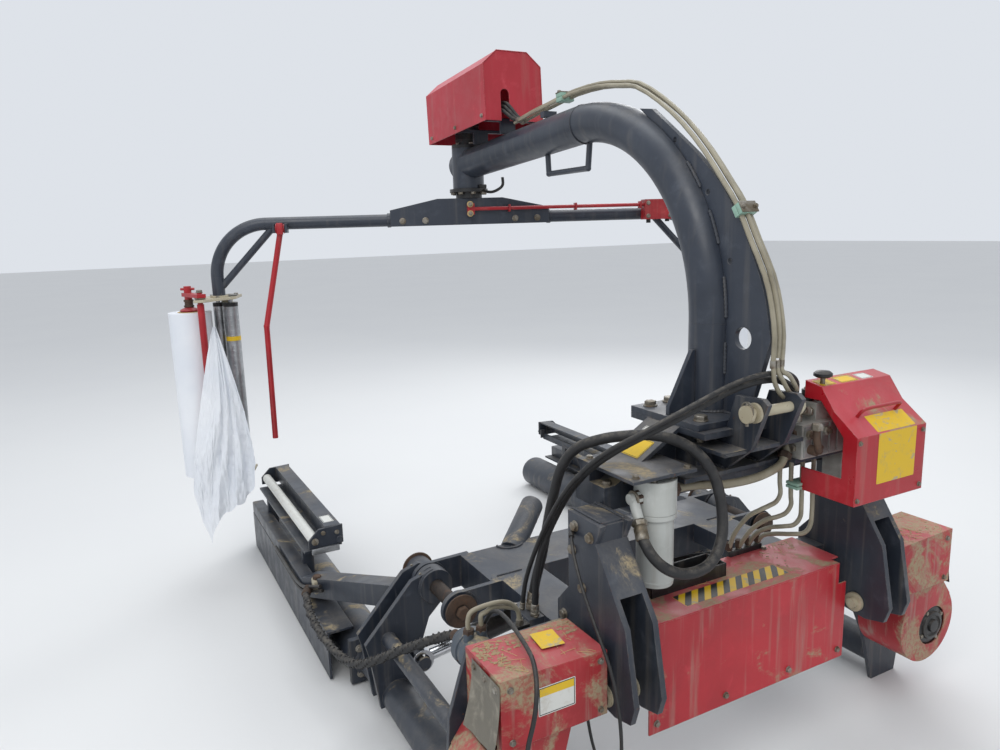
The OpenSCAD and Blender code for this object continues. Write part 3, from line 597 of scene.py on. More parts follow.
# ---------------------------------------------------------------- CAD nodes: finish and smooth shading
FINISH = {m_grey: "mast mast_fin mast_brackets satellite_beam film_arm_right film_arm_left",
          m_grey_deck: "mast_pedestal hitch_bracket_right hitch_bracket_left",
          m_grey_low: "main_frame roller_arm_right roller_arm_left clamp_beam_right clamp_beam_left clamp_jaw_right clamp_jaw_left bale_roller_right bale_roller_left",
          m_cream: "lower_hitch_pins top_link_pin film_head_right film_head_left",
          m_pipe: "mast_pipes",
          m_red: "valve_cover", m_red_front: "front_cover", m_red_top: "motor_cover", m_red_mud: "drive_cover_right drive_cover_left",
          m_red_bar: "trip_rod roll_carrier_right roll_carrier_left safety_bar_right",
          m_black: "rotor_motor rotor_hub lift_barrel_right lift_barrel_left",
          m_filter: "oil_filter", m_block: "valve_block", m_pin: "arm_pivot_pins", m_film: "film_tail",
          m_film_roll: "film_roll_right film_roll_left",
          m_steel: "stretch_roller_outer_right stretch_roller_inner_right stretch_roller_outer_left stretch_roller_inner_left",
          m_motor: "drive_motor_right drive_motor_left", m_chrome: "lift_rod_right lift_rod_left",
          m_hose: "filter_hose main_hose thin_hose cover_cable lead_cable wrapped_hose"}
for m, names in FINISH.items():
    for n in names.split():
        o = N[n]
        o.data.materials.clear()
        o.data.materials.append(m)
        o.data.polygons.foreach_set("use_smooth", [True] * len(o.data.polygons))
        w = o.modifiers.new("weld", "WELD")
        w.merge_threshold = 0.00002
        e = o.modifiers.new("split", "EDGE_SPLIT")
        e.split_angle = math.radians(34)

# ---------------------------------------------------------------- free hoses
# the same points as the routes in the CAD source, in hitch millimetres
ROUTE = {
    "filter": [[-341, 42, 771], [-349, 16, 738], [-342, -8, 706], [-318, -24, 678], [-282, -34, 660], [-242, -38, 656],
         [-202, -36, 662], [-170, -30, 684], [-149, -22, 718], [-140, -12, 762], [-140, -2, 808], [-147, 10, 852], [-164, 26, 890],
         [-190, 46, 920], [-224, 72, 940], [-262, 102, 948], [-300, 138, 944], [-343, 182, 932], [-380, 232, 904], [-399, 272, 850],
         [-404, 302, 776], [-410, 322, 700], [-422, 336, 600], [-440, 345, 520], [-450, 348, 450]],
    "main": [[201, 40, 952], [178, 38, 960], [148, 30, 986], [112, 16, 1022], [65, 2, 1050], [10, -6, 1066], [-60, -8, 1066],
         [-130, -4, 1052], [-200, 6, 1026], [-265, 26, 996], [-322, 60, 962], [-364, 110, 920], [-394, 165, 868], [-412, 216, 805],
         [-426, 260, 730], [-442, 292, 650], [-456, 310, 560], [-460, 316, 448]],
    "thin": [[201, 76, 964], [186, 70, 974], [158, 46, 1004], [118, 14, 1044], [66, -9, 1072], [10, -20, 1084], [-60, -22, 1084],
         [-135, -18, 1070], [-206, -8, 1044], [-274, 12, 1012], [-336, 46, 974], [-384, 104, 926], [-416, 160, 868], [-436, 212, 800],
         [-448, 258, 725], [-460, 300, 640], [-470, 340, 540], [-472, 362, 448]],
    "cable": [[-467, 128, 744], [-482, 104, 730], [-494, 74, 700], [-500, 36, 650], [-501, -10, 588], [-497, -60, 510],
         [-493, -84, 430], [-489, -90, 350], [-490, -88, 270], [-486, -70, 200], [-468, -30, 140], [-440, 30, 100], [-412, 84, 92],
         [-398, 124, 118], [-398, 150, 160], [-404, 160, 220], [-410, 164, 290], [-414, 166, 360]],
    "wrapped": [[-835, 1228, 226], [-851, 1196, 224], [-860, 1148, 220], [-867, 1090, 212], [-868, 1030, 202], [-862, 960, 188],
         [-850, 880, 178], [-836, 800, 182], [-818, 720, 204], [-792, 640, 250], [-763, 564, 304], [-730, 488, 354], [-698, 420, 398],
         [-674, 362, 430], [-666, 318, 440]],
    "lead": [[-640, 262, 485], [-632, 252, 512], [-626, 232, 540], [-624, 196, 555], [-627, 140, 557], [-636, 80, 555], [-648, 26, 557],
         [-659, -16, 553], [-672, -50, 532], [-684, -68, 496], [-694, -72, 456], [-702, -66, 412], [-707, -60, 362], [-706, -48, 312],
         [-700, -28, 262]]}


def free_hose(name, key, node, r, k, mat=None, body="root"):
    """a hose along its route, with a crimped steel fitting at each end"""
    pts = curve(ROUTE[key], k)
    fit = Piece(name + "_fittings", body)
    if r > 5:
        for e in (0, 1):
            q = pts if e == 0 else list(reversed(pts))
            d = (q[2] - q[0]).normalized()
            o = q[0]
            m = m_bolt if key != "wrapped" else m_rust
            fit.lathe(o, d, [(0, 0), (r * 0.9, 0), (r * 0.9, r * 0.9), (r * 1.12, r * 0.95), (r * 1.22, r * 1.2), (r * 1.22, r * 2.0), (r * 1.14, r * 2.1),
                             (r * 1.22, r * 2.25), (r * 1.22, r * 3.2), (r * 1.10, r * 3.4), (r * 0.99, r * 3.45), (0, r * 3.45)], m, 20)
            fit.hexa(o - d * 1.0, d, r * 2.5, r * 1.0, m, 0.3)
    else:
        fit.cyl(pts[0], pts[0] + (pts[2] - pts[0]).normalized() * 16, r * 1.7, m_plug, 14)
        e = pts[-1]
        fit.cyl(e, e + (pts[-3] - e).normalized() * 16, r * 1.7, m_plug, 14)
    fo = fit.done()
    h = Piece(name, body)
    h.tube(pts, r, mat or m_hose, 14)
    o = h.done(replaces=(node,))
    return pts


c_filter = free_hose("oil_filter_hose", "filter", "filter_hose", 13, 9)
c_main = free_hose("supply_hose", "main", "main_hose", 9, 8)
c_thin = free_hose("pilot_hose", "thin", "thin_hose", 6, 8)
c_cable = free_hose("front_cable", "cable", "cover_cable", 4, 8, m_plug)
c_wrap = free_hose("clamp_hose", "wrapped", "wrapped_hose", 12, 9, body="arm_right")
free_hose("sensor_lead", "lead", "lead_cable", 5, 8, m_plug, body="arm_right")

# spiral guard round the clamp's hose, worn
sg = Piece("spiral_guard", "arm_right")
path = resample(c_wrap, 4.0)
hel, k = [], len(path)
nrm = None
for i in range(6, k - 6):
    t = (path[i + 1] - path[i - 1]).normalized()
    nrm = t.orthogonal().normalized() if nrm is None else (nrm - t * nrm.dot(t)).normalized()
    bi = t.cross(nrm)
    a = i * 4.0 / 17.0 * 2 * math.pi
    hel.append(path[i] + nrm * (13.2 * math.cos(a)) + bi * (13.2 * math.sin(a)))
sg.tube(hel, 2.9, m_plug, 6)
sg.done()


# ---------------------------------------------------------------- blank labels and hazard stripe
def clip(poly, k, lo, hi):
    for sgn, lim in ((1, lo), (-1, -hi)):
        out = []
        for a, b in zip(poly, poly[1:] + poly[:1]):
            da, db = sgn * a[k] - lim, sgn * b[k] - lim
            if da >= 0:
                out.append(a)
            if (da >= 0) != (db >= 0):
                t = da / (da - db)
                out.append((a[0] + (b[0] - a[0]) * t, a[1] + (b[1] - a[1]) * t))
        poly = out
        if not poly:
            break
    return poly


def patch(pc, o, u, v, poly, m, th=0.35):
    """thin vinyl: poly is in (u, v) from the corner o"""
    o, u, v = Vector(o), Vector(u).normalized(), Vector(v).normalized()
    w = u.cross(v)
    bm = bmesh.new()
    lo = [bm.verts.new(o + u * a + v * b) for a, b in poly]
    hi = [bm.verts.new(o + u * a + v * b + w * th) for a, b in poly]
    bm.faces.new(list(reversed(lo)))
    bm.faces.new(hi)
    n = len(poly)
    for i in range(n):
        j = (i + 1) % n
        bm.faces.new((lo[i], lo[j], hi[j], hi[i]))
    bmesh.ops.recalc_face_normals(bm, faces=bm.faces)
    pc.finish_mm(bm, m, False)


def rect(w, h, r=3.0):
    pts = []
    for cx, cy, a0 in ((w - r, r, -90), (w - r, h - r, 0), (r, h - r, 90), (r, r, 180)):
        for q in range(4):
            a = math.radians(a0 + 30 * q)
            pts.append((cx + r * math.cos(a), cy + r * math.sin(a)))
    return pts


def hazard(pc, o, u, v, w, h, pitch=42.0, lean=0.9, my=None, mk=None):
    my, mk = my or m_yel_worn, mk or m_blk
    patch(pc, o, u, v, rect(w, h, 1.5), my, 0.3)
    x = -h * lean
    o2 = Vector(o) + Vector(u).cross(Vector(v)).normalized() * 0.3
    while x < w:
        poly = clip([(x, 0), (x + pitch * 0.5, 0), (x + pitch * 0.5 + h * lean, h), (x + h * lean, h)], 0, 1.0, w - 1.0)
        if len(poly) > 2:
            patch(pc, o2, u, v, poly, mk, 0.12)
        x += pitch


def label(pc, o, u, v, w, h, bg, border=None, top=None, frac=0.3, r=3.0):
    """a blank sticker: a ground, a border line and a plain band, nothing written"""
    patch(pc, o, u, v, rect(w, h, r), bg, 0.3)
    n = Vector(u).cross(Vector(v)).normalized()
    o2 = Vector(o) + n * 0.3
    if top is not None:
        patch(pc, o2 + Vector(v).normalized() * (h * (1 - frac) - 2) + Vector(u).normalized() * 2, u, v, rect(w - 4, h * frac, 1.5), top, 0.12)
    if border is not None:
        t = max(1.2, w * 0.02)
        for (a, b, c, d) in ((2, 2, w - 2, 2 + t), (2, h - 2 - t, w - 2, h - 2), (2, 2, 2 + t, h - 2), (w - 2 - t, 2, w - 2, h - 2)):
            patch(pc, o2, u, v, [(a, b), (c, b), (c, d), (a, d)], border, 0.14)


lb = Piece("labels_frame", "root")
hazard(lb, (-204, 30, 530.1), (1, 0, 0), (0, 1, 0), 346, 54)
# valve cover: a large worn sticker on the front, one on the slope, three on the top
label(lb, (284, -100.2, 782), (1, 0, 0), (0, 0, 1), 146, 130, m_yel_worn)
sl = Vector((0, 70, 53)).normalized()
label(lb, (284, -96.2, 915.0), (1, 0, 0), tuple(sl), 146, 52, m_yel_worn)
tp = Vector((0, 50, 10)).normalized()
label(lb, (214, 14, 1021.2), (1, 0, 0), tuple(tp), 52, 36, m_yel, m_blk)
label(lb, (284, 14, 1021.2), (1, 0, 0), tuple(tp), 66, 36, m_yel_worn, m_blk)
label(lb, (366, 16, 1021.2), (1, 0, 0), tuple(tp), 44, 32, m_wht, m_blk)
# two on the sloping side plate by the mast
ps = Vector((192, 0, 114)).normalized()
label(lb, (-262, 150, 878.0), tuple(ps), (0, 1, 0), 62, 84, m_yel, m_blk)
label(lb, (-203, 160, 913.0), tuple(ps), (0, 1, 0), 34, 66, m_wht, m_blk)
lb.done()

near = Piece("labels_right_cover", "arm_right")
patch(near, (-608, 34, 540.0), (1, -0.11, 0.0), (0.11, 1, 0.0), rect(56, 66, 2), m_yel_worn, 0.4)
label(near, (-657, -30.2, 432), (1, 0, 0), (0, 0, 1), 92, 66, m_wht, m_blk, m_yel_worn, 0.3)
near.done()
far_l = Piece("label_left_cover", "arm_left")
label(far_l, (486, -30.2, 438), (1, 0, 0), (0, 0, 1), 40, 70, m_wht, m_blk, m_yel, 0.3)
far_l.done()

# ---------------------------------------------------------------- mast: welds, flange bolts, clamps
BY, BZ, BR = 735.0, 1185.0, 550.0


def on_bend(r, t):
    return (BY + r * math.cos(math.radians(t)), BZ + r * math.sin(math.radians(t)))


m_weld = paint("weld_bead", (0.045, 0.05, 0.062), (0.10, 0.11, 0.125), (0.03, 0.033, 0.04), rough=0.5, dust=0.3, rust=0.5, bevel=0.0006)
ms = Piece("mast_welds_bolts", "root")
for x in (-9.5, 9.5):
    for a, b in ((139, 147), (153, 161.5), (169, 179)):
        pts = []
        t = a
        while t <= b:
            y, z = on_bend(BR + 59.5, t)
            pts.append((x, y, z))
            t += 0.6
        ms.weld(pts, 4.2, m_weld)
    ms.weld([(x, 126, 1060), (x, 126, 1140)], 4.0, m_weld)
# bead round the tube's foot, and along the fin's and the gussets' feet
ms.weld([(58.5 * math.cos(math.radians(t)), 185 + 58.5 * math.sin(math.radians(t)), 964.5) for t in range(0, 361, 8)], 4.4, m_weld)
for x in (-8.5, 8.5):
    ms.weld([(x, 66, 963.5), (x, 124, 963.5)], 3.6, m_weld)
for sx in (-1, 1):
    for dy in (-7, 7):
        ms.weld([(sx * 64, 185 + dy, 963.5), (sx * 136, 185 + dy, 963.5)], 3.2, m_weld)
# flange bolts with nuts beneath
for bx_, by_ in ((-112, 96), (112, 96), (-112, 286), (112, 286), (-40, 296), (40, 296)):
    ms.bolt((bx_, by_, 962), (0, 0, 1), 17)
    if abs(bx_) > 105:
        ms.bolt((bx_, by_, 930), (0, 0, -1), 17, shank=8)
# ring welds where the tube was joined
for y0 in (740.0,):
    pts = []
    for t in range(0, 361, 10):
        pts.append((57.6 * math.cos(math.radians(t)), y0 + 57.6 * math.sin(math.radians(t)) * math.sin(math.radians(3.6)), 1734 + 57.6 * math.sin(math.radians(t))))
    ms.weld(pts, 2.0, m_weld)
ms.done()

# pipe clamps on the mast: two half blocks, top plate and bolt
PIPE = [[1150, 1790], [1050, 1805], [950, 1815], [800, 1830], [664, 1829], [560, 1815], [478, 1798], [380, 1745], [290, 1680], [210, 1605],
        [140, 1525], [95, 1470], [50, 1390], [4, 1310], [-20, 1240], [-32, 1170], [-30, 1112]]
pc = Piece("mast_pipe_clamps", "root")
cl = curve([(0, p[0], p[1]) for p in PIPE], 6)
for i, hs in ((16, 30), (67, 22)):
    p0 = cl[i]
    t = (cl[i + 1] - cl[i - 1]).normalized()
    u = Vector((1, 0, 0))
    n = t.cross(u).normalized()
    if n.z < 0 and abs(n.z) > 0.4:
        n = -n
    if abs(n.z) <= 0.4 and n.y > 0:
        n = -n
    rot = Matrix((u, t, n)).transposed().to_4x4()
    pc.box(-25, 25, -14, 14, -11, 2, m_green, 1.5, rot=Matrix.Translation(p0) @ rot, pivot=(0, 0, 0))
    pc.box(-25, 25, -14, 14, 2.6, 15, m_green, 1.5, rot=Matrix.Translation(p0) @ rot, pivot=(0, 0, 0))
    pc.box(-26, 26, -14.5, 14.5, 15, 18.5, m_bolt, 1.0, rot=Matrix.Translation(p0) @ rot, pivot=(0, 0, 0))
    for dx in (-20.5, 20.5):
        pc.bolt(p0 + n * 18.5 + u * dx, n, 6)
# unions at the lower ends, and stub pipes that go on to the valve block
for k, x in enumerate((-14, 0, 14)):
    z0 = 1112
    pc.hexa((x, -30 + (0), z0 + 4), (0, 0, -1), 13, 18, m_bolt, 0.2 + k)
    end = (150 + 26 * k, 30 + 24 * k, 935)
    st = [(x, -30, z0), (x + 2, -31, z0 - 22), (x + 14 + 10 * k, -26, z0 - 52 + 6 * k), (x + 60 + 8 * k, -10, z0 - 92 + 8 * k), (end[0] - 18, end[1] - 10, 992 + 4 * k), (end[0], end[1], 968), end]
    pc.tube(curve(st, 6), 5.6, m_pipe, 10)
    pc.hexa(end, (0, 0, 1), 15, 16, m_bolt, 0.5)
pc.done()

# motor cover: screws and the pipes that go in
mc = Piece("motor_cover_trim", "root")
rm = Matrix.Translation((0, 1174, 1800)) @ Matrix.Rotation(math.radians(-3.6), 4, "X")
for sx in (-1, 1):
    for yy in (30, 250, 470):
        p = rm @ Vector((sx * 114, yy, 20))
        mc.bolt(p, (sx, 0, 0), 7)
# folded lip round the mouth
lipo = [(-114, 0), (-114, 188), (-60, 234), (60, 234), (114, 188), (114, 0)]
lipi = [(-111, 0), (-111, 186.4), (-58.6, 231), (58.6, 231), (111, 186.4), (111, 0)]
for a, b in zip(range(5), range(1, 6)):
    q = [rm @ Vector((lipo[a][0], -0.6, lipo[a][1])), rm @ Vector((lipo[b][0], -0.6, lipo[b][1]))]
    mc.tube([q[0], q[1]], 1.8, m_red_top, 8)
for k in range(3):
    y0 = 1176
    st = [(-14 + 14 * k, 1120, 1796), (-20 + 10 * k, 1148, 1803 + 3 * k), (-33 + 8 * k, 1170, 1822 + 10 * k), (-42 + 8 * k, 1192, 1838 + 12 * k), (-44 + 8 * k, 1240, 1840 + 12 * k)]
    mc.tube(curve(st, 6), 6.4, m_hose, 10)
    mc.hexa((-14 + 14 * k, 1118, 1795.5), (-0.1, 1, 0.2), 15, 14, m_bolt, 0.2)
mc.done()

# rotor motor: flange screws, body ribs and ports
rt = Piece("rotor_motor_trim", "root")
for t in range(0, 360, 60):
    a = math.radians(t + 20)
    rt.bolt((52 * math.cos(a), ROTOR_Y + 52 * math.sin(a), 1757), (0, 0, 1), 9)
for z in (1775, 1800, 1825):
    rt.lathe((0, ROTOR_Y, z), (0, 0, 1), [(44, 0), (47.5, 1), (47.5, 7), (44, 8)], m_black, 36)
for sx in (-1, 1):
    rt.cyl((sx * 18, ROTOR_Y - 38, 1920), (sx * 18, ROTOR_Y - 58, 1920), 12, m_bolt, 18)
rt.done()

# ---------------------------------------------------------------- pedestal, hitch and top link
pd = Piece("pedestal_trim", "root")
# tray on the deck, black
pd.box(-255, -8, 101, 105, 530.2, 566, m_black, 1)
pd.box(-255, -8, 170, 174, 530.2, 566, m_black, 1)
pd.box(-255, -251, 101, 174, 530.2, 566, m_black, 1)
pd.box(-12, -8, 101, 174, 530.2, 566, m_black, 1)
pd.box(-255, -8, 101, 174, 530.2, 533, m_black, 0.6)
# bolts of the pedestal's feet and of the filter's shelf
for sx in (-1, 1):
    for y in (150, 232):
        pd.bolt((sx * 352, y, 830), (0, 0, 1), 12)
        pd.bolt((sx * 215, y - 4, 830), (0, 0, 1), 12)
for p in ((-352, 40, 876), (-352, 220, 876), (-206, 36, 876), (-206, 224, 876)):
    pd.bolt(p, (0, 0, 1), 9)
# welds of the clevis plates
for x in (-64, -46, 46, 64):
    pd.weld([(x, 64, 843.5), (x, 190, 843.5)], 3.6, m_weld)
pd.weld([(-128, -6, 901), (-66, -6, 901)], 3.2, m_weld)
# linch pin through the top link pin, with its ring
pd.cyl((-90, -30, 1026), (-90, -30, 972), 4.2, m_bolt, 14)
ring = [(-90 + 2 * math.sin(math.radians(t)), -30 + 20 * math.sin(math.radians(t)), 1008 - 20 * math.cos(math.radians(t))) for t in range(0, 361, 12)]
pd.tube(ring, 2.1, m_bolt, 8, cap=False)
# collars
pd.ring((-71, -30, 1000), (-63, -30, 1000), 24, 12.6, m_cream)
pd.ring((63, -30, 1000), (71, -30, 1000), 24, 12.6, m_cream)
# grab handle on the slope of the valve cover, and the knob
hd = [(262, -52, 948), (262, -64, 964), (274, -70, 971), (334, -71, 972), (394, -70, 971), (406, -64, 964), (406, -52, 948)]
pd.tube(curve(hd, 5), 4.5, m_red_bar, 12)
pd.cyl((227, 26, 1022), (227, 26, 1044), 6, m_bolt, 16)
pd.lathe((227, 26, 1040), (0, 0, 1), [(0, 0), (16, 0), (23, 4), (23, 11), (17, 16), (0, 18)], m_plug, 26)
for x, z in ((215, 752), (455, 752), (215, 898), (455, 898)):
    pd.bolt((x, -100, z), (0, -1, 0), 6)
pd.done()

hb = Piece("hitch_trim", "root")
for sx in (-1, 1):
    # bolts through the side plates, and the linch pin ring of the lower pins
    for y, z in ((110, 430), (170, 430), (110, 500), (170, 520), (90, 620), (130, 700), (60, 752), (120, 760)):
        hb.bolt((sx * 462, y, z), (sx, 0, 0), 12)

    for x in (462, 388):
        x0 = sx * x
        hb.ring((x0 - 5 * sx, 0, 400), (x0 + 4 * sx, 0, 400), 26, 14.2, m_cream)
    hb.weld([(sx * 449, 38, 792), (sx * 449, 150, 792)], 3.2, m_weld)
    hb.weld([(sx * 387, 38, 792), (sx * 387, 150, 792)], 3.2, m_weld)
    hb.tube([(sx * 455 + 16 * math.cos(math.radians(t)) * 0.2 * sx, 18 * math.sin(math.radians(t)) - 34, 382 - 18 * math.cos(math.radians(t))) for t in range(0, 361, 14)], 2.0, m_bolt, 8, cap=False)
hb.done()

# front cover: turned edges and screws with washers
fc = Piece("front_cover_trim", "root")
for x in (-318, -100, 120, 308):
    fc.bolt((x, 0, 276), (0, -1, 0), 8)
for x in (-318, -60, 200):
    fc.bolt((x, 170, 530), (0, 0, 1), 8)
fc.tube([(-339, 1.2, 529.0), (298, 1.2, 529.0)], 2.4, m_red, 8)
fc.done()

# ---------------------------------------------------------------- filter: head, bowl and fittings
fl_ = Piece("oil_filter_trim", "root")
fl_.lathe((-270, 72, 775), (0, 0, -1), [(46, -1), (50.5, 1), (50.5, 12), (46, 15)], m_filter, 40)
fl_.lathe((-270, 72, 600), (0, 0, 1), [(40, -1), (45.2, 3), (45.2, 8), (43.5, 10)], m_filter, 40)
fl_.hexa((-270, 72, 597), (0, 0, -1), 27, 10, m_bolt, 0.3)
for t in (45, 135, 225, 315):
    a = math.radians(t)
    fl_.bolt((-270 + 39 * math.cos(a), 72 + 39 * math.sin(a), 856), (0, 0, 1), 8)
fl_.hexa((-316, 72, 815), (-1, 0, 0), 33, 15, m_rust, 0.2)
fl_.ring((-330, 72, 815), (-336, 72, 815), 19, 13.2, m_bolt)
fl_.hexa((-222, 72, 815), (1, 0, 0), 32, 18, m_rust, 0.2)
# pipe from the filter to the valve block, greasy
fp = [(-205, 72, 815), (-160, 70, 814), (-118, 56, 812), (-70, 40, 810), (20, 34, 812), (96, 38, 826), (124, 44, 850), (139, 50, 872)]
fl_.tube(curve(fp, 7), 10.5, m_pipe, 14)
fl_.hexa((118, 42, 843), (21, 8, 29), 30, 16, m_rust, 0.4)
fl_.done()

# ---------------------------------------------------------------- valve block: sections, spools, plugs and hard pipes
vb = Piece("valve_trim", "root")
for k in range(5):
    x = 146 + 30 * k
    vb.box(x + 1, x + 27, 4.5, 10, 846, 926, m_alu, 2.5)
for (x, z) in ((160, 905), (190, 870), (222, 908)):
    vb.hexa((x, 6, z), (0, -1, 0), 22, 10, m_bolt, 0.4)
    vb.cyl((x, -3, z), (x, -12, z), 7, m_rust, 18)
vb.cyl((168, 6, 866), (168, -16, 866), 13, m_rust, 22)
vb.tube(curve([(168, -12, 866), (168, -22, 868), (158, -27, 880), (150, -27, 905), (150, -27, 930)], 6), 9, m_rust, 14)
vb.hexa((150, -27, 926), (0, 0, 1), 24, 16, m_bolt, 0.1)
for x in (222, 252, 282):
    vb.cyl((x, 66, 974), (x, 66, 1004), 15, m_plug, 24)
    vb.cyl((x, 66, 1003), (x, 66, 1009), 9, m_bolt, 18)
for y in (34, 68, 100):
    vb.hexa((141, y, 868), (-1, 0, 0), 20, 9, m_bolt, 0.2)
    vb.hexa((141, y, 905), (-1, 0, 0), 20, 9, m_rust, 0.5)
VP = [[(168, 96, 831), (168, 96, 760), (168, 92, 724), (150, 88, 706), (120, 86, 700), (100, 96, 690), (90, 130, 660), (84, 168, 600), (84, 186, 545)],
      [(196, 84, 831), (196, 84, 770), (196, 82, 716), (196, 80, 690), (176, 78, 672), (150, 84, 664), (132, 108, 650), (122, 150, 606), (120, 186, 545)],
      [(224, 72, 831), (224, 72, 760), (224, 70, 690), (222, 70, 654), (204, 74, 634), (184, 90, 628), (168, 124, 616), (158, 160, 588), (156, 186, 545)],
      [(252, 60, 831), (252, 60, 740), (252, 58, 668), (250, 60, 626), (238, 70, 604), (220, 96, 596), (204, 136, 586), (194, 168, 572), (192, 186, 545)]]
for r_ in VP:
    vb.tube(curve(r_, 6), 6.2, m_pipe, 10)
    vb.hexa(r_[0], (0, 0, -1), 16, 16, m_bolt, 0.3)
    e = Vector(r_[-1])
    vb.hexa(e + Vector((0, 0, 24)), (0, 0, -1), 18, 22, m_rust, 0.2)
vb.box(80, 200, 176, 194, 526, 545, m_black, 2)
vb.box(186, 262, 54, 92, 738, 746, m_green, 1.5)
vb.box(186, 262, 54, 92, 748, 756, m_green, 1.5)
vb.done()

# ---------------------------------------------------------------- right and left drive covers
for s, nm in ((-1, "right"), (1, "left")):
    dc = Piece("drive_cover_trim_" + nm, "arm_" + nm)
    X = lambda x: x if s < 0 else -x
    # hanging side flap: belting bolted along its top edge
    rows = []
    k = 9
    for i in range(k):
        t = i / (k - 1)
        z = 532 - 150 * t if s < 0 else 500 - 135 * t
        out = 3.2 + (22 * t * t if s < 0 else 12 * t)
        row = []
        n = 11
        for j in range(n):
            q = j / (n - 1)
            y = -34 + 128 * q if s < 0 else -14 + 76 * q
            w = 3.0 * math.sin(5.2 * q + 2.4 * t) * t + 1.5 * math.sin(13 * q + 1.0)* t
            lean = -10 * t * (1 - q)
            row.append(Vector((X(-745 - out - w), y + lean, z)))
        rows.append(row)
    dc.sheet_loft(rows, m_flap if s < 0 else m_rust, th=0.003)
    for y in ((-18, 30, 80) if s < 0 else (0, 50)):
        dc.bolt((X(-748), y, 518 if s < 0 else 486), (X(-1), 0, 0), 7)
    # bearing and stub shaft in the lobe's hole
    c = (X(-715), -6, 235)
    dc.lathe(c, (0, -1, 0), [(0, -4), (59, -4), (59, 0), (50, 3), (44, 3), (42, 9), (33, 11), (30, 6), (20, 6), (18, 14), (0, 15)], m_black, 36)
    for t in range(0, 360, 90):
        a = math.radians(t + 30)
        dc.bolt((c[0] + 50 * math.cos(a), -7, 235 + 50 * math.sin(a)), (0, -1, 0), 7)
    # turned lips and screws
    for x, z in ((-720, 396), (-500, 396), (-500, 512), (-722, 516)):
        dc.bolt((X(x), -30, z), (0, -1, 0), 7)
    dc.tube([(X(-744), -28.5, 539), (X(-483), -28.5, 531.4)], 1.8, m_red_mud, 8)
    dc.done()

# clods and straw that lie on the covers
md_mud = Mat("dried_mud")
mn = md_mud.noise(60.0, 6.0, 0.7)
md_mud.l(md_mud.mix(mn, (0.20, 0.14, 0.08), (0.42, 0.31, 0.18)), md_mud.b.inputs["Base Color"])
md_mud.b.inputs["Roughness"].default_value = 0.95
md_mud.l(md_mud.bump(mn, 0.002, 0.8), md_mud.b.inputs["Normal"])
m_mud = md_mud.m


def clods(pc, n, x0, x1, y0, y1, zf, smin=1.5, smax=6.0):
    for _ in range(n):
        x, y = rnd.uniform(x0, x1), rnd.uniform(y0, y1)
        if noise.noise(Vector((x * 0.012, y * 0.012, 3.3))) < -0.05:
            continue
        s_ = rnd.uniform(smin, smax) ** 1.0
        bm = bmesh.new()
        bmesh.ops.create_icosphere(bm, subdivisions=1, radius=s_)
        for v in bm.verts:
            v.co *= 1 + 0.5 * noise.noise(v.co * 0.4 + Vector((x, y, 0)))
            v.co.z *= 0.35
            v.co += Vector((x, y, zf(x, y)))
        pc.finish_mm(bm, m_mud)


def straws(pc, n, x0, x1, y0, y1, zf, lmin=12, lmax=45):
    for _ in range(n):
        x, y = rnd.uniform(x0, x1), rnd.uniform(y0, y1)
        a, L = rnd.uniform(0, math.pi), rnd.uniform(lmin, lmax)
        dx, dy = 0.5 * L * math.cos(a), 0.5 * L * math.sin(a)
        pts = []
        for t in (-1, 0, 1):
            px, py = min(max(x + dx * t, x0), x1), min(max(y + dy * t, y0), y1)
            pts.append((px, py, zf(px, py) + 0.8 + (1.2 if t == 0 else 0)))
        pc.tube(pts, 0.5, m_straw, 4)


dirt = Piece("dirt_right_cover", "arm_right")
top_z = lambda x, y: 532 + (-x - 482) * 8 / 263 + 0.3
clods(dirt, 150, -740, -690, -24, 120, top_z)
clods(dirt, 110, -740, -490, 70, 122, top_z)
straws(dirt, 24, -740, -488, -24, 124, top_z)
dirt.done()
dirt2 = Piece("dirt_front_cover", "root")
fz = lambda x, y: 530.3
clods(dirt2, 60, 150, 290, 60, 176, fz, 1.2, 4.0)
clods(dirt2, 60, -330, 0, 110, 176, fz, 1.2, 4.0)
straws(dirt2, 26, -330, 290, 90, 176, fz)
dirt2.done()
dirt3 = Piece("dirt_left_cover", "arm_left")
top_z3 = lambda x, y: 532 + (x - 482) * 8 / 263 + 0.3
clods(dirt3, 90, 490, 740, -20, 122, top_z3, 1.2, 4.5)
straws(dirt3, 20, 490, 740, -20, 122, top_z3)
dirt3.done()

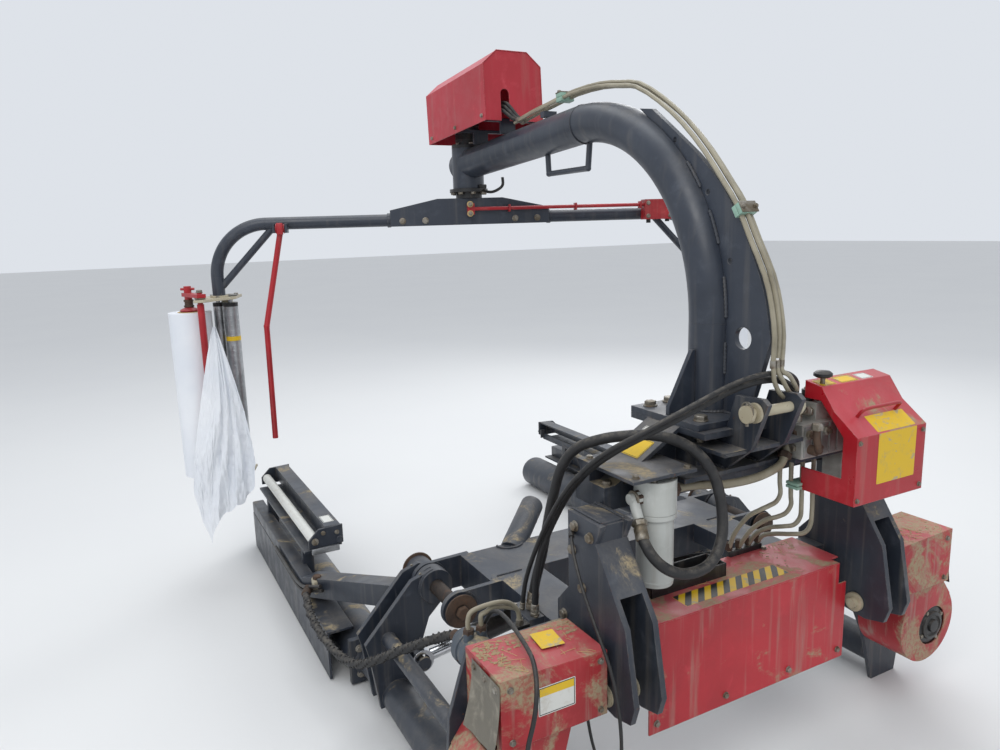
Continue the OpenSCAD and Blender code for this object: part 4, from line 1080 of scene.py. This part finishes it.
# ---------------------------------------------------------------- drive motors: flange, ports and hard pipes
for s, nm in ((-1, "right"), (1, "left")):
    dm = Piece("drive_motor_trim_" + nm, "arm_" + nm)
    X = lambda x: x if s < 0 else -x
    c0 = (X(-665), 0, 440)
    for t in range(0, 360, 90):
        a = math.radians(t + 45)
        dm.bolt((c0[0] + 50 * math.cos(a), 142, 440 + 50 * math.sin(a)), (0, 1, 0), 10)
    dm.lathe((c0[0], 142, 440), (0, 1, 0), [(44, 0), (58, 0), (58, 12), (46, 14)], m_motor, 36)
    dm.lathe((c0[0], 196, 440), (0, 1, 0), [(43, 0), (47, 2), (47, 16), (43, 18)], m_motor, 36)
    dm.lathe((c0[0], 262, 440), (0, 1, 0), [(43, 0), (47.5, 2), (47.5, 26), (40, 30), (34, 30)], m_motor, 36)
    for dx in (-16, 18):
        dm.cyl((c0[0] + dx, 250, 470), (c0[0] + dx, 250, 494), 13, m_motor, 20)
        dm.hexa((c0[0] + dx, 250, 492), (0, 0, 1), 24, 12, m_rust, 0.2)
    # two cream pipes arch from the motor's ports over to the frame side
    for k, (dx, top) in enumerate(((-16, 547), (18, 534))):
        p = [(c0[0] + dx, 250, 500), (c0[0] + dx, 250, 528), (c0[0] + dx + X(-1) * -14, 250, top), (c0[0] + X(-1) * -55, 250 + 4 * k, top + 4),
             (X(-572) , 250 + 4 * k, top - 6), (X(-548), 250, 516), (X(-541 - 4 * k), 250 - 4 * k, 484)]
        dm.tube(curve(p, 7), 6.0, m_pipe, 12)
        dm.hexa((X(-541 - 4 * k), 250 - 4 * k, 478), (0, 0, 1), 17, 14, m_bolt, 0.3)
    dm.box(min(X(-560), X(-520)), max(X(-560), X(-520)), 236, 262, 462, 478, m_black, 2)
    dm.box(min(X(-560), X(-520)), max(X(-560), X(-520)), 142, 262, 462, 466, m_black, 1)
    dm.done()

# ---------------------------------------------------------------- satellite: hub, trip gear, safety bar
sa = Piece("satellite_trim", "satellite", turn=-1)
for t in range(0, 360, 45):
    a = math.radians(t + 10)
    sa.bolt((64 * math.cos(a), ROTOR_Y + 64 * math.sin(a), 1576), (0, 0, -1), 11)
for sx in (-1, 1):
    # welded sleeves where the arms leave the beam, and the clamp screws
    sa.ring((sx * 316, ROTOR_Y, 1475), (sx * 330, ROTOR_Y, 1475), 28, 24.1, m_grey)
    for x in (180, 270):
        sa.bolt((sx * x, ROTOR_Y - 38, 1470), (0, -1, 0), 12)
        sa.bolt((sx * x, ROTOR_Y + 38, 1470), (0, 1, 0), 12)
    sa.weld([(sx * 986, ROTOR_Y - 26, 1205 + 4 * i) for i in range(3)], 3, m_weld)
# trip rod: guides, rollers at the hub end, the hinge box at the arm
for x in (150, 420, 690):
    sa.box(x, x + 8, ROTOR_Y - 70, ROTOR_Y - 38, 1496, 1524, m_red_bar, 1.5)
sa.cyl((-4, ROTOR_Y - 76, 1528), (-4, ROTOR_Y - 62, 1528), 12, m_straw, 22)
sa.cyl((-4, ROTOR_Y - 76, 1492), (-4, ROTOR_Y - 62, 1492), 12, m_straw, 22)
sa.bolt((-4, ROTOR_Y - 76, 1528), (0, -1, 0), 8)
sa.bolt((-4, ROTOR_Y - 76, 1492), (0, -1, 0), 8)
for x in (722, 814):
    sa.bolt((x, ROTOR_Y - 78, 1516), (0, -1, 0), 8)
    sa.bolt((x, ROTOR_Y - 78, 1464), (0, -1, 0), 8)
sa.cyl((732, ROTOR_Y - 50, 1450), (732, ROTOR_Y - 50, 1436), 9, m_plug, 18)
sa.cyl((812, ROTOR_Y - 50, 1450), (812, ROTOR_Y - 50, 1440), 9, m_plug, 18)
sa.done()
tl = Piece("trip_lever", "root")
tl.tube(curve([(30, 1506, 1592), (34, 1490, 1578), (40, 1430, 1572), (48, 1370, 1590), (48, 1366, 1622)], 6), 5.5, m_black, 12)
tl.box(14, 46, 1494, 1520, 1588, 1604, m_black, 3)
tl.done()

sb = Piece("safety_bar_trim", "safety_bar_right", turn=-1)
sb.ring((-753.5, ROTOR_Y - 48, 1454), (-757, ROTOR_Y - 48, 1454), 18, 7.3, m_red_bar)
sb.ring((-726.5, ROTOR_Y - 48, 1454), (-723, ROTOR_Y - 48, 1454), 18, 7.3, m_red_bar)
sb.box(-752, -728, ROTOR_Y - 70, ROTOR_Y - 58, 1432, 1476, m_red_bar, 2)
sb.done()

# ---------------------------------------------------------------- film heads: gears, caps, core, bands
FT = 488 + 656


def gear(pc, c, z0, z1, r, teeth, m):
    pts = []
    for i in range(teeth):
        for q, rr in ((0.0, r - 3.0), (0.22, r - 3.0), (0.36, r), (0.64, r), (0.78, r - 3.0)):
            a = 2 * math.pi * (i + q) / teeth
            pts.append((c[0] + rr * math.cos(a), c[1] + rr * math.sin(a)))
    pc.prism(pts, "z", z0, z1, m, bev=0, smooth=False)


for s, nm in ((-1, "right"), (1, "left")):
    for key, c, r, k in (("outer", (-1021, 1626), 27.6, 30), ("inner", (-968, 1600), 30.6, 33)):
        g = Piece("gear_%s_%s" % (key, nm), "stretch_%s_%s" % (key, nm), turn=s)
        gear(g, c, 1199.2, 1204.8, r, k, m_alu)
        g.cyl((c[0], c[1], 1204), (c[0], c[1], 1206), 13, m_bolt, 20, 0.4)
        rr = 20 if key == "outer" else 27.5
        g.ring((c[0], c[1], 484.3), (c[0], c[1], 500), rr + 0.7, 8.2, m_plug)
        g.ring((c[0], c[1], 1157), (c[0], c[1], 1172.7), rr + 0.7, 8.2, m_plug)
        if key == "inner":
            g.lathe((c[0], c[1], 1020), (0, 0, 1), [(27.6, 0), (28.3, 0.5), (28.3, 17.5), (27.6, 18)], m_yel, 36)
        for z in range(520, 1145, 20):
            g.lathe((c[0], c[1], z), (0, 0, 1), [(rr - 0.2, 0), (rr + 0.6, 1.2), (rr + 0.6, 2.6), (rr - 0.2, 3.8)], m_steel, 24)
        g.done()
    h = Piece("film_head_trim_" + nm, "satellite", turn=s)
    for (x, y) in ((-1000, ROTOR_Y - 28), (-1000, ROTOR_Y + 30), (-955, 1660), (-1012, 1672)):
        h.bolt((x, y, 1198), (0, 0, 1), 9)
    for (x, y) in ((-950, 1660), (-1008, 1684)):
        h.bolt((x, y, 462), (0, 0, -1), 8, washer=False)
    h.ring((-1000, ROTOR_Y, 1197), (-1000, ROTOR_Y, 1205), 34, 24.3, m_cream)
    h.done()
    cr_ = Piece("roll_carrier_trim_" + nm, "roll_carrier_" + nm, turn=s)
    f = (-1117, 1564)
    # friction cone, spring and wing nut on top of the roll's spindle
    cr_.lathe((f[0], f[1], FT + 4), (0, 0, 1), [(15, 0), (35, 0.5), (36, 3), (32.5, 8), (20, 13), (14.4, 16)], m_red_bar, 32)
    cr_.lathe((f[0], f[1], 1164), (0, 0, 1), [(14, 0), (19, 0.5), (19, 6), (15.6, 8), (15.6, 20), (18.4, 21), (18.4, 28), (14.4, 30)], m_rust, 24)
    cr_.cyl((f[0] - 26, f[1], 1234), (f[0] + 26, f[1], 1234), 5, m_red_bar, 16)
    cr_.lathe((f[0], f[1], 487), (0, 0, -1), [(32, 0), (46, 0), (46, 3), (32, 5)], m_red_bar, 32)
    cr_.bolt((-1052, 1472, 1225), (0, 0, 1), 12)
    cr_.ring((-1052, 1472, 1199), (-1052, 1472, 1204.5), 20, 10.3, m_bolt)
    cr_.done()
    ro = Piece("film_roll_core_" + nm, "film_roll_" + nm, turn=s)
    for z0, z1 in ((488 - 2.5, 488.0), (FT, FT + 2.5)):
        ro.ring((f[0], f[1], z0), (f[0], f[1], z1), 45, 38.3, m_straw)
    for k in range(7):
        r_ = 50 + 4.2 * k
        ro.lathe((f[0], f[1], FT), (0, 0, 1), [(r_, -0.2), (r_ + 1.2, 0.5), (r_ + 2.4, -0.2)], m_film_roll, 48)
    ro.done()

# ---------------------------------------------------------------- loose film that hangs from the near roll
film = Piece("loose_film", "satellite", turn=-1)
# the torn lower edge: share across, (x, z)
BOT = [(0.0, -1142, 470), (0.05, -1142, 430), (0.11, -1132, 372), (0.18, -1116, 312), (0.24, -1100, 262), (0.28, -1090, 240), (0.32, -1080, 258), (0.37, -1066, 300),
       (0.42, -1052, 334), (0.50, -1030, 350), (0.58, -1006, 366), (0.66, -982, 384), (0.75, -955, 398), (0.84, -928, 424), (0.90, -910, 460), (0.95, -898, 500), (1.0, -893, 548)]


def foot(q):
    for (a, xa, za), (b, xb, zb) in zip(BOT, BOT[1:]):
        if a <= q <= b:
            u = (q - a) / (b - a)
            return xa + (xb - xa) * u, za + (zb - za) * u
    return BOT[-1][1], BOT[-1][2]


NQ, NT = 150, 110
rows = []
for i in range(NT + 1):
    t = i / NT
    row = []
    for j in range(NQ + 1):
        q = j / NQ
        xb, zb = foot(q)
        zb += 6 * math.sin(40 * q) * (1 if 0 < j < NQ else 0)
        z = 1098 + (zb - 1098) * t
        x = -1004 + 12 * q + (xb + 1004 - 12 * q) * (1 - (1 - t) ** 1.4)
        # folds run from the apex down, and gather near it
        am = 4.0 + 12.0 * min(1.0, t * 1.6)
        ph = 2.4 * noise.noise(Vector((q * 2.1, t * 1.3, 0.7)))
        f1 = math.sin(2 * math.pi * (2.3 * q + 0.35 * t) + 4 * ph)
        f2 = math.sin(2 * math.pi * (6.0 * q - 0.9 * t) + 8 * ph)
        f3 = noise.noise(Vector((q * 13.0, t * 9.0, 4.2)))
        f4 = noise.noise(Vector((q * 33.0, t * 21.0, 9.2)))
        f5 = noise.noise(Vector((q * 60.0 + 8 * ph, t * 34.0, 2.1)))
        w2 = 0.35 + 0.65 * min(1.0, max(0.0, (t - 0.25) / 0.5))
        y = 1416 + am * (0.62 * f1 + 0.16 * f2 + 0.42 * w2 * f3) + w2 * (4.8 * f4 + 2.4 * f5)
        y += 50 * max(0.0, (0.34 - q) / 0.34) ** 1.7 * min(1.0, t * 1.5)
        x += 2.5 * math.sin(2 * math.pi * 7 * q + 4 * ph) * min(1, t * 2) * (1 if 0 < j < NQ else 0)
        row.append((x, y, z))
    rows.append(row)
film.sheet_loft(rows, m_film)
fo = film.done(angle=180, replaces=("film_tail",))
FA = sum(p.area for p in fo.data.polygons)
print("FILM AREA", round(FA, 4))

# ---------------------------------------------------------------- clamps, roller arms and pivots
for s, nm in ((-1, "right"), (1, "left")):
    X = lambda x: x if s < 0 else -x
    cb = Piece("clamp_beam_trim_" + nm, "arm_" + nm)
    # square tube welded along the channel's outer edge
    a_, b_ = sorted((X(-838), X(-788)))
    cb.box(a_, b_, 1292, 2246, 171.5, 224, m_grey_low, 5)
    a_, b_ = sorted((X(-834), X(-792)))
    cb.box(a_, b_, 2243, 2249, 176, 220, m_grey_low, 2)
    for y in (1452, 2072):
        cb.weld([(X(-786), y - 14, 172.5), (X(-786), y + 14, 172.5)], 3, m_weld)
        for z in (186, 280):
            cb.bolt((X(-760), y + 3, z), (X(1), 0, 0), 9)
    cb.weld([(X(-838), 1292, 226), (X(-790), 1292, 226)], 3, m_weld)
    # pipes clipped under the clamp tube, with their elbow
    cb.tube(curve([(X(-812), 1150, 262), (X(-836), 1230, 232), (X(-846), 1300, 214), (X(-848), 1420, 206), (X(-848), 1700, 206)], 6), 6, m_black, 10)
    cb.tube(curve([(X(-806), 1150, 244), (X(-832), 1230, 214), (X(-846), 1300, 196), (X(-848), 1420, 190), (X(-848), 1700, 190)], 6), 6, m_black, 10)
    a_, b_ = sorted((X(-822), X(-786)))
    cb.box(a_, b_, 1196, 1236, 212, 262, m_cream, 5)
    cb.hexa((X(-806), 1214, 262), (0, 0, 1), 26, 12, m_rust, 0.2)
    cb.done()
    cj = Piece("clamp_jaw_trim_" + nm, "clamp_jaw_" + nm)
    wl = [(17.2, 0), (19.0, 1.5)] + [(19.0, 826.5), (17.2, 828)]
    cj.lathe((X(-775), 1346, 345), (0, 1, 0), wl, m_wht, 30)
    for y, d in ((1334, -1), (2186, 1)):
        cj.bolt((X(-775), y, 345), (0, d, 0), 12)
        cj.bolt((X(-694), y, 366), (0, d, 0), 8)
        cj.bolt((X(-744), y, 372), (0, d, 0), 8)
    label(cj, (X(-728) if s < 0 else 690, 1380, 392.1), (1, 0, 0), (0, 1, 0), 38, 70, m_wht, m_blk)
    a_, b_ = sorted((X(-790), X(-690)))
    cj.box(a_, b_, 1322, 1333.5, 300, 322, m_steel, 1.5)
    cj.done()
    ra = Piece("roller_arm_trim_" + nm, "arm_" + nm)
    ra.lathe((X(-576), 792, 395), (0, 1, 0), [(42, 46), (50, 47.5), (50, 52), (22.4, 53)], m_rust, 36)
    # bearing housing at the roller's front end
    ra.lathe((X(-710), 930, 78), (0, 1, 0), [(50, -6), (62, -4), (62, 4), (50, 5)], m_grey_low, 36)
    for t in range(0, 360, 90):
        a = math.radians(t + 45)
        ra.bolt((X(-710) + 62 * math.cos(a), 935, 81 + 62 * math.sin(a)), (0, -1, 0), 12)
    # grease nipples and weld beads
    for y in (715, 784):
        ra.cyl((X(-576 - 34), y, 395 + 34), (X(-576 - 44), y, 395 + 44), 3.6, m_bolt, 12)
    for y in (702.5, 721.5):
        pts = []
        for t in range(95, 260, 6):
            a = math.radians(t)
            pts.append((X(-576 + 52 * math.cos(a)), y, 395 + 52 * math.sin(a)))
        ra.weld(pts, 3, m_weld)
    ra.done()
    br = Piece("bale_roller_trim_" + nm, "bale_roller_" + nm)
    br.lathe((X(-710), 966, 78), (0, 1, 0), [(60, -2.6), (77.6, -1), (77.9, 2)], m_grey_low, 48)
    for t in range(0, 360, 60):
        a = math.radians(t)
        br.hexa((X(-710) + 54 * math.cos(a), 963.2, 78 + 54 * math.sin(a)), (0, -1, 0), 17, 6, m_bolt, 0.4)
    br.done()

pv = Piece("pivot_trim", "root")
for s in (-1, 1):
    for y, d in ((517, -1),):
        pv.lathe((s * 576, 522, 395), (0, -1, 0), [(22, -1), (48, 0), (48, 5), (40, 7), (22, 7)], m_rust, 40)
        pv.hexa((s * 576, 514, 395), (0, -1, 0), 34, 14, m_rust, 0.4)
    for yy in (529, 547, 749, 767):
        pts = []
        for t in range(-60, 61, 8):
            a = math.radians(t)
            pts.append((s * (576 - 54 * math.cos(a)), yy, 395 + 54 * math.sin(a)))
        pv.weld(pts, 2.6, m_weld)
    for x in (380, 460):
        pv.weld([(s * x, 559, 449), (s * x, 560, 346)], 3, m_weld)
    pv.weld([(s * 441, 562, 449), (s * 359, 562, 449)], 3.2, m_weld)
    # foot of the bale stop
    a0 = Vector((s * 300, 735, 425))
    pv.weld([(s * 300 + 44 * math.cos(math.radians(t)), 748 + 40 * math.sin(math.radians(t)), 450) for t in range(180, 361, 9)], 3.6, m_weld)
# manifold screws
for y in (310, 390):
    pv.bolt((-463 if y == 310 else -478, y - 4 if y == 310 else y, 446), (0, 0, 1), 7, washer=False)
pv.done()


# ---------------------------------------------------------------- floor and light
fl = bpy.data.meshes.new("floor")
fl.from_pydata([(-40, -40, 0), (40, -40, 0), (40, 40, 0), (-40, 40, 0)], [], [(0, 1, 2, 3)])
floor = bpy.data.objects.new("floor", fl)
bpy.context.scene.collection.objects.link(floor)
M = Mat("floor_pale")
M.l(M.mix(M.noise(0.7, 4.0), (0.68, 0.68, 0.68), (0.72, 0.72, 0.71)), M.b.inputs["Base Color"])
M.b.inputs["Roughness"].default_value = 0.85
fl.materials.append(M.m)
floor.location.z = -0.0005

world = bpy.data.worlds.new("studio")
bpy.context.scene.world = world
world.use_nodes = True
bg = world.node_tree.nodes["Background"]
bg.inputs[0].default_value = (0.86, 0.90, 0.96, 1)
bg.inputs[1].default_value = 0.85


def area(name, loc, to, size, power, col=(1, 1, 1)):
    li = bpy.data.lights.new(name, "AREA")
    li.shape = "DISK"
    li.size = size
    li.energy = power
    li.color = col
    o = bpy.data.objects.new(name, li)
    bpy.context.scene.collection.objects.link(o)
    o.location = loc
    o.rotation_euler = (Vector(to) - Vector(loc)).to_track_quat("-Z", "Y").to_euler()
    return o


area("key", (-3.2, -3.4, 5.2), (0, 0, 0.8), 3.5, 120, (1, 0.985, 0.96))
area("top", (0.5, 1.0, 6.0), (0, 0, 0.5), 5.0, 120, (0.95, 0.98, 1))
area("rim", (3.5, 3.0, 3.5), (0, 0, 1.0), 2.5, 60)
bpy.context.scene.view_settings.view_transform = "Standard"
bpy.context.scene.view_settings.look = "None"
